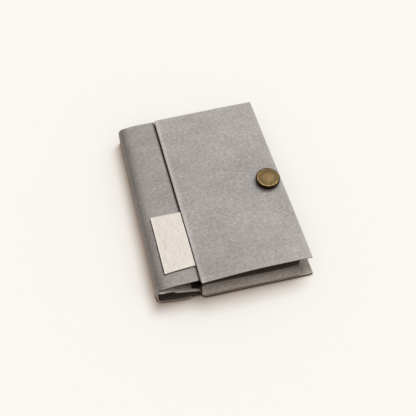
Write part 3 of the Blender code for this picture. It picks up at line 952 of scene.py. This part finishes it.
def make_cap(brass):
    """Cap with a raised rim about a lower, slightly domed middle, and its post."""
    rim_outer = CAP_RADIUS - CAP_EDGE_RADIUS
    rim_inner = rim_outer - CAP_RIM_WIDTH
    floor = CAP_TOP - CAP_RECESS
    post_foot = SOCKET_TOP - SOCKET_WEB - GAP
    shoulder = (rim_inner / 2, floor + CAP_DOME * CAP_SHOULDER_SHARE)
    top = [(0, floor + CAP_DOME), shoulder]
    top += rounded(
        [
            shoulder,
            (rim_inner - CAP_GROOVE, floor),
            (rim_inner, floor),
            (rim_inner + CAP_RECESS, CAP_TOP),
            (rim_outer, CAP_TOP),
        ],
        CAP_RECESS,
    )[1:-1]
    side = rounded(
        [
            (rim_outer - METAL_EDGE, CAP_TOP),
            (CAP_RADIUS, CAP_TOP),
            (CAP_RADIUS, CAP_FOOT),
            (POST_RADIUS, CAP_FOOT),
        ],
        CAP_EDGE_RADIUS,
    )
    post = [
        (POST_RADIUS, post_foot),
        (POST_HEAD_RADIUS, post_foot),
        (POST_HEAD_RADIUS, post_foot - POST_HEAD_HEIGHT),
        (0, post_foot - POST_HEAD_HEIGHT),
    ]
    make_turned("cap_turned", "snap_cap", "flap", [*top, *side, *post], brass)


def make_socket(brass):
    """Socket under the flap, with its spring groove and bore."""
    flange_foot = SOCKET_TOP - SOCKET_FLANGE_HEIGHT
    groove_foot = SOCKET_FOOT + SOCKET_LIP
    groove_top = groove_foot + SPRING_GROOVE_HEIGHT
    groove_radius = SPRING_RING_RADIUS + SPRING_WIRE_RADIUS + GAP
    web_foot = SOCKET_TOP - SOCKET_WEB
    web_radius = POST_RADIUS + GAP
    middle_radius = (web_radius + SOCKET_FLANGE_RADIUS) / 2
    corners = [
        (middle_radius, SOCKET_TOP),
        (SOCKET_FLANGE_RADIUS, SOCKET_TOP),
        (SOCKET_FLANGE_RADIUS, flange_foot),
        (SOCKET_BOSS_RADIUS, flange_foot),
        (SOCKET_BOSS_RADIUS, SOCKET_FOOT),
        (SOCKET_BORE_RADIUS, SOCKET_FOOT),
        (SOCKET_BORE_RADIUS, groove_foot),
        (groove_radius, groove_foot),
        (groove_radius, groove_top),
        (SOCKET_BORE_RADIUS, groove_top),
        (SOCKET_BORE_RADIUS, web_foot),
        (web_radius, web_foot),
        (web_radius, SOCKET_TOP),
        (middle_radius - METAL_EDGE, SOCKET_TOP),
    ]
    profile = rounded(corners, METAL_EDGE)
    make_turned("socket_turned", "snap_socket", "flap", profile, brass, closed=True)


def make_stud(brass):
    """Stud on the pouch, with a blind bore for its rivet."""
    base_top = STUD_FOOT + STUD_BASE_HEIGHT
    neck_top = base_top + STUD_NECK_HEIGHT
    top = base_top + STUD_HEIGHT
    corners = [
        (0, top),
        (STUD_HEAD_RADIUS, top),
        (STUD_HEAD_RADIUS, neck_top),
        (STUD_NECK_RADIUS, neck_top),
        (STUD_NECK_RADIUS, base_top),
        (STUD_BASE_RADIUS, base_top),
        (STUD_BASE_RADIUS, STUD_FOOT),
        (STUD_BORE_RADIUS, STUD_FOOT),
        (STUD_BORE_RADIUS, top - STUD_ROOF),
        (0, top - STUD_ROOF),
    ]
    profile = rounded(corners, METAL_EDGE)
    make_turned("stud_turned", "snap_stud", "pouch_lid", profile, brass)


def make_rivet(brass):
    """Rivet under the pouch panel, whose barrel holds the stud."""
    barrel = STUD_BORE_RADIUS - GAP
    barrel_top = STUD_FOOT + RIVET_DEPTH_IN_BORE
    foot = RIVET_TOP - RIVET_FLANGE_HEIGHT
    corners = [
        (0, barrel_top),
        (barrel, barrel_top),
        (barrel, RIVET_TOP),
        (RIVET_FLANGE_RADIUS, RIVET_TOP),
        (RIVET_FLANGE_RADIUS, foot),
        (0, foot),
    ]
    profile = rounded(corners, METAL_EDGE)
    make_turned("rivet_turned", "stud_rivet", "pouch_lid", profile, brass)


def make_spring(steel):
    """Split wire ring that grips the stud."""
    data = bpy.data.curves.new("spring_wire", "CURVE")
    data.dimensions = "3D"
    data.bevel_depth = SPRING_WIRE_RADIUS
    data.bevel_resolution = CORNER_STEPS
    data.use_fill_caps = True
    spline = data.splines.new("POLY")
    spline.points.add(SPRING_STEPS)
    sweep = 2 * math.pi - SPRING_OPENING
    for step, point in enumerate(spline.points):
        angle = SPRING_OPENING / 2 + sweep * step / SPRING_STEPS
        x = SPRING_RING_RADIUS * math.cos(angle)
        y = SPRING_RING_RADIUS * math.sin(angle)
        point.co = (x, y, 0, 1)
    data.materials.append(steel)
    spring = linked("spring_wire", data)
    height = SOCKET_FOOT + SOCKET_LIP + SPRING_GROOVE_HEIGHT / 2
    spring.location = in_frame(SNAP_X, SNAP_Y, height)
    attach(spring, "flap")
    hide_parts("socket_spring")


# Materials

BLACK = (0, 0, 0, 1)
GREY = (0.5, 0.5, 0.5, 1)
WHITE = (1, 1, 1, 1)
MIDDLE = 0.5

# The standard curve of screens: straight when dark, and a power above that
SCREEN_DARK = 0.04045
SCREEN_SLOPE = 12.92
SCREEN_OFFSET = 0.055
SCREEN_POWER = 2.4
SCREEN_STEPS = 255

# The mix node's sockets for colours, which have the same names as its sockets for numbers
MIX_FIRST = 6
MIX_SECOND = 7
MIX_RESULT = 2


def linear(value):
    """A screen value from 0 to 1 as linear light."""
    if value <= SCREEN_DARK:
        return value / SCREEN_SLOPE
    return ((value + SCREEN_OFFSET) / (1 + SCREEN_OFFSET)) ** SCREEN_POWER


def colour(red, green, blue):
    """Screen values from 0 to 255 as the linear colour that they stand for."""
    return (*(linear(value / SCREEN_STEPS) for value in (red, green, blue)), 1)


class Nodes:
    """Short calls for the nodes of a material or a world."""

    def __init__(self, owner):
        owner.use_nodes = True
        self.tree = owner.node_tree

    def feed(self, node, inputs):
        """Gives each input a value, or links it to another node's output."""
        for socket, value in inputs.items():
            if isinstance(value, bpy.types.NodeSocket):
                self.tree.links.new(value, node.inputs[socket])
            else:
                node.inputs[socket].default_value = value

    def node(self, kind, inputs, **settings):
        new = self.tree.nodes.new(f"ShaderNode{kind}")
        for setting, value in settings.items():
            setattr(new, setting, value)
        self.feed(new, inputs)
        return new

    def carried(self, name, output="Fac"):
        """What the sheet's points carry under a name."""
        return self.node("Attribute", {}, attribute_name=name).outputs[output]

    def object_place(self):
        return self.node("TexCoord", {}).outputs["Object"]

    def parts(self, vector):
        """X, Y and Z of a vector."""
        return self.node("SeparateXYZ", {"Vector": vector}).outputs

    def stretched(self, vector, scale):
        return self.node("Mapping", {"Vector": vector, "Scale": scale}).outputs["Vector"]

    def noise(self, place, size, detail, roughness):
        inputs = {"Vector": place, "Scale": 1 / size, "Detail": detail, "Roughness": roughness}
        return self.node("TexNoise", inputs).outputs["Fac"]

    def cells(self, place, size, **settings):
        inputs = {"Vector": place, "Scale": 1 / size}
        return self.node("TexVoronoi", inputs, **settings).outputs

    def math(self, operation, first, second=0):
        return self.node("Math", {0: first, 1: second}, operation=operation).outputs[0]

    def total(self, values):
        """The sum of several values."""
        result = values[0]
        for value in values[1:]:
            result = self.math("ADD", result, value)
        return result

    def swing(self, value, share):
        """A texture's value about its middle, weakened to a share."""
        return self.math("MULTIPLY", self.math("SUBTRACT", value, MIDDLE), share)

    def varied(self, value, texture, share):
        """A value that swings with a texture."""
        return self.math("ADD", value, self.swing(texture, share))

    def rise(self, value, start, end, low=0, high=1):
        """Goes from low at start to high at end, and stays level outside them."""
        inputs = {"Value": value, "From Min": start, "From Max": end, "To Min": low, "To Max": high}
        return self.node("MapRange", inputs).outputs["Result"]

    def ramp(self, value, stops):
        """Colours at places from 0 to 1."""
        node = self.node("ValToRGB", {"Fac": value})
        elements = node.color_ramp.elements
        while len(elements) < len(stops):
            elements.new(MIDDLE)
        for element, (position, shade) in zip(elements, stops):
            element.position = position
            element.color = shade
        return node.outputs["Color"]

    def mix(self, share, first, second, blend="MIX"):
        inputs = {"Factor": share, MIX_FIRST: first, MIX_SECOND: second}
        node = self.node("Mix", inputs, data_type="RGBA", blend_type=blend)
        return node.outputs[MIX_RESULT]

    def times(self, first, second):
        """One colour multiplied by another."""
        return self.mix(1, first, second, "MULTIPLY")

    def nearness(self, reach, open_share, tint):
        """A tint where something is within a reach, and white in the open."""
        openness = self.node("AmbientOcclusion", {"Distance": reach}).outputs["AO"]
        return self.ramp(openness, [(open_share, tint), (1, WHITE)])

    def bump(self, height, distance, strength=1, **under):
        """A normal raised by a height, over another one if it is given as Normal."""
        inputs = {"Height": height, "Distance": distance, "Strength": strength, **under}
        return self.node("Bump", inputs).outputs["Normal"]


class Surface(Nodes):
    """A material under construction."""

    def __init__(self, name):
        self.material = bpy.data.materials.new(name)
        super().__init__(self.material)

    def finished(self, looks):
        """The material, with its shader's inputs fed."""
        self.feed(self.tree.nodes["Principled BSDF"], looks)
        return self.material


# Noises of the washable paper, coarse to fine: size in metres, detail and roughness
PAPER_NOISES = ((0.035, 1.0, 0.5), (0.009, 3.0, 0.5), (0.0015, 4.0, 0.6), (0.0005, 3.0, 0.65))
PAPER_NOISE_SHARES = (0.4, 0.45, 0.8, 1.7)
FIBRE = (0.0022, 1.0, 0.5)
CUT_FIBRE = (0.0005, 4.0, 0.7)
FIBRE_SHARE = 0.16
FIBRE_WIDTH_SHARE = 0.03
PAPER_STRETCH = (0.75, 1, 1)
SIDE_STRETCH = (1.5, 0.75, 1)
CREASE_SIZE = 0.011
CREASE_WIDTH_SHARE = 0.06
CREASE_DEPTH = 0.00012
GRAIN_DEPTH = 0.00005
WEAR_AND_HIGHLIGHT_SHARE = 0.35
PAPER_ROUGHNESS = 0.86
PAPER_ROUGHNESS_SHARE = 0.25
PAPER_SPECULAR = 0.25
CUT_DARK_SHARE = 0.3
CUT_LIGHT_SHARE = 0.7
CUT_ROUGHNESS = 0.9

# Colours of the papers and of their cut edges
PAPER_DARK = colour(133, 129, 126)
PAPER_LIGHT = colour(202, 198, 195)
PAPER_WORN_LIT = colour(205, 201, 196)
# Warm tint where painted shade darkens a sheet
PAINTED_SHADE_TINT = (1.07, 0.98, 0.91, 1)
SIDE_DARK = colour(108, 107, 106)
SIDE_LIGHT = colour(210, 208, 206)
# Warmer copy of the paper for the back panel, tinted for its painted shadow, and its darker cut edge,
# painted shade
PANEL_SHADED_DARK = colour(140, 130, 121)
PANEL_SHADED_LIGHT = colour(210, 199, 189)
PANEL_CUT_SHADE_DARK = colour(46, 40, 34)
PANEL_CUT_SHADE_LIGHT = colour(84, 75, 66)
# Darker inner paper, painted shade inside the wallet
SHADED_INNER_DARK = colour(62, 58, 55)
SHADED_INNER_LIGHT = colour(104, 99, 95)
CUT_DARK = colour(84, 79, 73)
CUT_LIGHT = colour(140, 133, 125)


def make_paper(name, dark, light, worn_lit_colour, shade_tint=WHITE, stretch=PAPER_STRETCH):
    """Washable paper: soft clouds, mottled felt, fine grain, a few pale fibres and faint creases,
    lighter where worn and highlit, times the sheet's tone of painted light and shade, warmer where
    that darkens it.
    """
    surface = Surface(name)
    place = surface.stretched(surface.carried(PLACE, "Vector"), stretch)
    noises = [surface.noise(place, *kind) for kind in PAPER_NOISES]
    swings = [surface.swing(value, share) for value, share in zip(noises, PAPER_NOISE_SHARES)]
    from_line = surface.math("ABSOLUTE", surface.swing(surface.noise(place, *FIBRE), 1))
    on_fibre = surface.math("LESS_THAN", from_line, FIBRE_WIDTH_SHARE)
    fibres = surface.math("MULTIPLY", on_fibre, FIBRE_SHARE)
    body = surface.ramp(surface.total([MIDDLE, *swings, fibres]), [(0, dark), (1, light)])
    worn_lit = surface.math("MULTIPLY", surface.carried(WEAR_AND_HIGHLIGHT), WEAR_AND_HIGHLIGHT_SHARE)
    tone = surface.carried(TONE, "Color")
    toned = surface.times(surface.mix(worn_lit, body, worn_lit_colour), tone)
    tint = surface.mix(surface.math("MINIMUM", tone, 1), shade_tint, WHITE)
    from_crease = surface.cells(place, CREASE_SIZE, feature="DISTANCE_TO_EDGE")["Distance"]
    creases = surface.bump(surface.math("MINIMUM", from_crease, CREASE_WIDTH_SHARE), CREASE_DEPTH)
    mottle, grain = noises[-2:]
    return surface.finished({
        "Base Color": surface.times(toned, tint),
        "Normal": surface.bump(surface.math("ADD", grain, mottle), GRAIN_DEPTH, Normal=creases),
        "Roughness": surface.varied(PAPER_ROUGHNESS, grain, PAPER_ROUGHNESS_SHARE),
        "Specular IOR Level": PAPER_SPECULAR,
    })


def make_cut(name, dark, light):
    """A sheet's cut edge: a darker fibrous core, times the sheet's tone of painted light and shade."""
    surface = Surface(name)
    fibre = surface.noise(surface.carried(PLACE, "Vector"), *CUT_FIBRE)
    core = surface.ramp(fibre, [(CUT_DARK_SHARE, dark), (CUT_LIGHT_SHARE, light)])
    return surface.finished({
        "Base Color": surface.times(core, surface.carried(TONE, "Color")),
        "Normal": surface.bump(fibre, GRAIN_DEPTH),
        "Roughness": CUT_ROUGHNESS,
    })


# Threads, flecks and colours of the label's cotton
THREAD_PITCH = 0.00034
THREAD_DEPTH = 0.00006
THREAD_STRENGTH = 0.6
WEAVE_SHARE = 0.5
SLUB_LENGTH = 0.006
SLUB = (1, 2.0, 0.5)
SLUB_SHARE = 1.4
BLOTCH = (0.0009, 2.0, 0.5)
BLOTCH_SHARE = 0.7
FLECK_SIZE = 0.0013
FLECK_REACH_SHARE = 0.16
FLECK_FREE_SHARE = 0.72
FLECK_SHARE = 0.65
COTTON_ROUGHNESS = 0.95
COTTON_SHEEN = 0.1
COTTON_LIGHT = colour(254, 249, 241)
COTTON_DARK = colour(214, 206, 195)
COTTON_FLECK = colour(150, 138, 126)
# Dark cut edge of the label, painted shade along its edges
COTTON_EDGE_SHADE = colour(70, 55, 40)


def make_cotton():
    """Undyed cotton: plain weave with slubs and a few seed flecks."""
    surface = Surface("undyed_cotton")
    place = surface.carried(PLACE, "Vector")
    parts = surface.parts(place)
    turn = math.pi / THREAD_PITCH
    warp = surface.math("SINE", surface.math("MULTIPLY", parts["X"], turn))
    weft = surface.math("SINE", surface.math("MULTIPLY", parts["Y"], turn))
    weave = surface.math("ABSOLUTE", surface.math("MULTIPLY", warp, weft))
    slubs = surface.noise(surface.stretched(place, (1 / THREAD_PITCH, 1 / SLUB_LENGTH, 1)), *SLUB)
    tone = surface.varied(MIDDLE, weave, WEAVE_SHARE)
    tone = surface.varied(tone, slubs, SLUB_SHARE)
    tone = surface.varied(tone, surface.noise(place, *BLOTCH), BLOTCH_SHARE)
    body = surface.ramp(tone, [(0, COTTON_DARK), (1, COTTON_LIGHT)])
    cells = surface.cells(place, FLECK_SIZE)
    chosen = surface.math("GREATER_THAN", cells["Color"], FLECK_FREE_SHARE)
    near = surface.math("LESS_THAN", cells["Distance"], FLECK_REACH_SHARE)
    fleck = surface.math("MULTIPLY", surface.math("MULTIPLY", chosen, near), FLECK_SHARE)
    return surface.finished({
        "Base Color": surface.mix(fleck, body, COTTON_FLECK),
        "Normal": surface.bump(surface.math("ADD", weave, slubs), THREAD_DEPTH, THREAD_STRENGTH),
        "Roughness": COTTON_ROUGHNESS,
        "Sheen Weight": COTTON_SHEEN,
    })


# Patina and painted rim highlight of the brass, by distance from the snap's axis as shares of the
# cap's radius
PATINA = (0.0011, 4.0, 0.65)
PATINA_SHARE = 0.18
PATINA_FINE = (0.0005, 3.0, 0.6)
PATINA_DEPTH = 0.00005
PATINA_STRENGTH = 0.5
BRASS_ROUGHNESS = 0.42
BRASS_ROUGHNESS_SHARE = 0.35
BRASS_BRIGHT = colour(138, 112, 74)
BRASS_WORN = colour(94, 75, 50)
BRASS_MOTTLE = colour(76, 62, 40)
BRASS_BLACK = colour(30, 22, 10)
FACE_SHARES = [
    (0.0, BRASS_WORN),
    (0.38, BRASS_WORN),
    (0.54, BRASS_MOTTLE),
    (0.70, BRASS_MOTTLE),
    (0.86, BRASS_WORN),
    (0.92, BRASS_BLACK),
]
RIM_SHARES = [(0.73, BLACK), (0.80, WHITE), (0.84, WHITE), (0.90, BLACK)]
# Base share of the rim's brightness, rubbed and highlit, and the painted highlight's gain towards the
# front
RIM_RUBBED_LIT_SHARE = 0.55
RIM_HIGHLIGHT_TURN_SHARE = 0.45
SPOT_SHARES = [(0.40, BLACK), (0.62, GREY)]


def make_brass():
    """Antique brass: rim bright from rubbing, with a painted highlight strongest at the front, mottled
    middle, and a side of black patina and painted dark reflection.
    """
    surface = Surface("antique_brass")
    place = surface.object_place()
    parts = surface.parts(place)
    flat = surface.node("CombineXYZ", {"X": parts["X"], "Y": parts["Y"]}).outputs["Vector"]
    radius = surface.node("VectorMath", {0: flat}, operation="LENGTH").outputs["Value"]
    mottle = surface.noise(place, *PATINA)
    fine = surface.noise(place, *PATINA_FINE)
    by_radius = surface.varied(surface.math("DIVIDE", radius, CAP_RADIUS), mottle, PATINA_SHARE)
    forward = surface.math("DIVIDE", parts["Y"], -CAP_RADIUS)
    rubbed_and_highlit = surface.math("ADD", surface.math("MULTIPLY", forward, RIM_HIGHLIGHT_TURN_SHARE), RIM_RUBBED_LIT_SHARE)
    bright = surface.math("MULTIPLY", surface.ramp(by_radius, RIM_SHARES), rubbed_and_highlit)
    face = surface.mix(bright, surface.ramp(by_radius, FACE_SHARES), BRASS_BRIGHT)
    spotted = surface.mix(surface.ramp(fine, SPOT_SHARES), face, BRASS_MOTTLE)
    # The cap's side is black, partly patina and partly a painted dark reflection
    low = surface.math("LESS_THAN", parts["Z"], CAP_TOP - CAP_EDGE_RADIUS)
    on_cap = surface.math("GREATER_THAN", parts["Z"], CAP_FOOT - GAP)
    return surface.finished({
        "Base Color": surface.mix(surface.math("MULTIPLY", low, on_cap), spotted, BRASS_BLACK),
        "Normal": surface.bump(surface.math("ADD", mottle, fine), PATINA_DEPTH, PATINA_STRENGTH),
        "Roughness": surface.varied(BRASS_ROUGHNESS, mottle, BRASS_ROUGHNESS_SHARE),
        "Metallic": 1,
    })


# Spring steel with the marks of its drawing
STEEL_COLOUR = colour(196, 193, 188)
STEEL_ROUGHNESS = 0.35
STEEL_ROUGHNESS_SHARE = 0.3
DRAW_MARKS = (0.00012, 3.0, 0.6)
DRAW_MARK_SHARE = 0.4


def make_steel():
    """Drawn steel wire with fine marks."""
    surface = Surface("drawn_steel")
    marks = surface.noise(surface.object_place(), *DRAW_MARKS)
    dark = surface.math("MULTIPLY", marks, DRAW_MARK_SHARE)
    return surface.finished({
        "Base Color": surface.mix(dark, STEEL_COLOUR, BRASS_MOTTLE),
        "Roughness": surface.varied(STEEL_ROUGHNESS, marks, STEEL_ROUGHNESS_SHARE),
        "Metallic": 1,
    })


# Stage

BACKDROP_COLOUR = colour(251, 247, 242)


def make_floor_paint():
    """Pale paint. What is seen of it has a painted warm shade and a painted contact shadow near the
    wallet.
    """
    surface = Surface("floor")
    parts = surface.parts(surface.object_place())
    past_spine = surface.rise(parts["X"], CONTACT_LEFT, CONTACT_LEFT + CONTACT_RUN)
    at_front = surface.rise(parts["Y"], CONTACT_FRONT + CONTACT_RUN, CONTACT_FRONT)
    within_open_side = surface.rise(parts["X"], CONTACT_RIGHT, CONTACT_RIGHT - CONTACT_END_RUN)
    kept = surface.math("MINIMUM", surface.math("MAXIMUM", past_spine, at_front), within_open_side)
    line = surface.nearness(CONTACT_REACH, CONTACT_OPEN_SHARE, CONTACT_COLOUR)
    contact = surface.mix(kept, WHITE, line)
    faded = surface.rise(parts["X"], SHADE_FADE_START, SHADE_FADE_END, high=SHADE_FADED_SHARE)
    shade = surface.nearness(SHADE_REACH, SHADE_OPEN_SHARE, SHADE_COLOUR)
    shade = surface.mix(faded, shade, WHITE)
    painted = surface.times(FLOOR_SEEN, surface.times(shade, contact))
    ray = surface.node("LightPath", {}).outputs
    seen = surface.total([ray["Is Camera Ray"], ray["Is Glossy Ray"], ray["Is Transmission Ray"]])
    return surface.finished({
        "Base Color": surface.mix(surface.math("MINIMUM", seen, 1), FLOOR_BOUNCE, painted),
        "Roughness": 1,
        "Specular IOR Level": 0,
    })


def make_floor():
    """A plain pale floor that keeps the wallet's shadow."""
    work = bmesh.new()
    bmesh.ops.create_grid(work, x_segments=1, y_segments=1, size=FLOOR_SIZE / 2)
    floor = linked("floor", mesh_from(work, "floor"))
    floor.data.materials.append(make_floor_paint())
    floor.location.z = -FLOOR_DROP


def direction_from(azimuth, elevation):
    """Unit vector from the wallet to something seen at an azimuth from -Y and an elevation."""
    flat = math.cos(elevation)
    return Vector((math.sin(azimuth) * flat, -math.cos(azimuth) * flat, math.sin(elevation)))


def make_key():
    """Soft light from the rear, over the open side."""
    data = bpy.data.lights.new("key", "SUN")
    data.energy = KEY_STRENGTH
    data.angle = KEY_ANGLE
    data.color = KEY_COLOUR
    towards = direction_from(KEY_AZIMUTH, KEY_ELEVATION)
    linked("key", data).rotation_euler = towards.to_track_quat("Z", "Y").to_euler()


def make_world():
    """Warm sky that is brighter on one side, with a plain backdrop for the camera alone."""
    world = bpy.data.worlds.new("studio")
    nodes = Nodes(world)
    towards = nodes.node("TexCoord", {}).outputs["Generated"]
    brightest = Vector(SKY_SIDE).normalized()
    side = nodes.node("VectorMath", {0: towards, 1: brightest}, operation="DOT_PRODUCT")
    strength = nodes.rise(side.outputs["Value"], -1, 1, SKY_DIM, SKY_BRIGHT)
    sky = nodes.tree.nodes["Background"]
    nodes.feed(sky, {"Color": SKY_COLOUR, "Strength": strength})
    backdrop = nodes.node("Background", {"Color": BACKDROP_COLOUR})
    seen = nodes.node("LightPath", {}).outputs["Is Camera Ray"]
    layers = {"Fac": seen, 1: sky.outputs["Background"], 2: backdrop.outputs["Background"]}
    shown = nodes.node("MixShader", layers).outputs["Shader"]
    nodes.feed(nodes.tree.nodes["World Output"], {"Surface": shown})
    bpy.context.scene.world = world


def make_camera():
    """Camera at the photo's own angle."""
    data = bpy.data.cameras.new("camera")
    data.sensor_width = SENSOR_WIDTH
    data.lens = CAMERA_LENS
    data.clip_start = CLIP_START
    data.clip_end = CLIP_END
    camera = linked("camera", data)
    back = direction_from(CAMERA_AZIMUTH, CAMERA_ELEVATION)
    camera.location = Vector(CAMERA_TARGET) + back * CAMERA_DISTANCE
    camera.rotation_euler = back.to_track_quat("Z", "Y").to_euler()
    bpy.context.scene.camera = camera


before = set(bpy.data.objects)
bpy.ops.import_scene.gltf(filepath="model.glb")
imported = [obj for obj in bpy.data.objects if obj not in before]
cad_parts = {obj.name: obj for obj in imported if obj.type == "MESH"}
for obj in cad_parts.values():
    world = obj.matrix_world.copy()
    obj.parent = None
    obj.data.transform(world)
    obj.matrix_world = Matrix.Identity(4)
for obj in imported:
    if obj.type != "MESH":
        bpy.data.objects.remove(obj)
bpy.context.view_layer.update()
noise.seed_set(RIPPLE_SEED)
bpy.context.scene.view_settings.view_transform = "Standard"

papers = [
    make_paper("washable_paper", PAPER_DARK, PAPER_LIGHT, PAPER_WORN_LIT, PAINTED_SHADE_TINT),
    make_cut("cut_edge", CUT_DARK, CUT_LIGHT),
    make_paper("shaded_inner_paper", SHADED_INNER_DARK, SHADED_INNER_LIGHT, SHADED_INNER_LIGHT),
]
side_papers = [
    make_paper("side_paper", SIDE_DARK, SIDE_LIGHT, SIDE_LIGHT, stretch=SIDE_STRETCH),
    papers[CUT],
]
panel_shaded_papers = [
    make_paper("panel_shaded_paper", PANEL_SHADED_DARK, PANEL_SHADED_LIGHT, PANEL_SHADED_LIGHT),
    make_cut("panel_edge_shaded", PANEL_CUT_SHADE_DARK, PANEL_CUT_SHADE_LIGHT),
]
cottons = [make_cotton(), make_cut("cotton_edge_shaded", COTTON_EDGE_SHADE, COTTON_FLECK)]
brass = make_brass()
steel = make_steel()

make_cover(papers)
make_back(papers, panel_shaded_papers)
make_flap(papers)
make_divider(papers)
make_pouch(papers)
make_gusset("front_gusset", WALL_X + GAP, front_gusset_line, 1, side_papers)
make_gusset("rear_gusset", POUCH_LEFT, rear_gusset_line, -1, side_papers)
make_label(cottons)
make_cap(brass)
make_socket(brass)
make_spring(steel)
make_stud(brass)
make_rivet(brass)

make_floor()
make_key()
make_world()
make_camera()
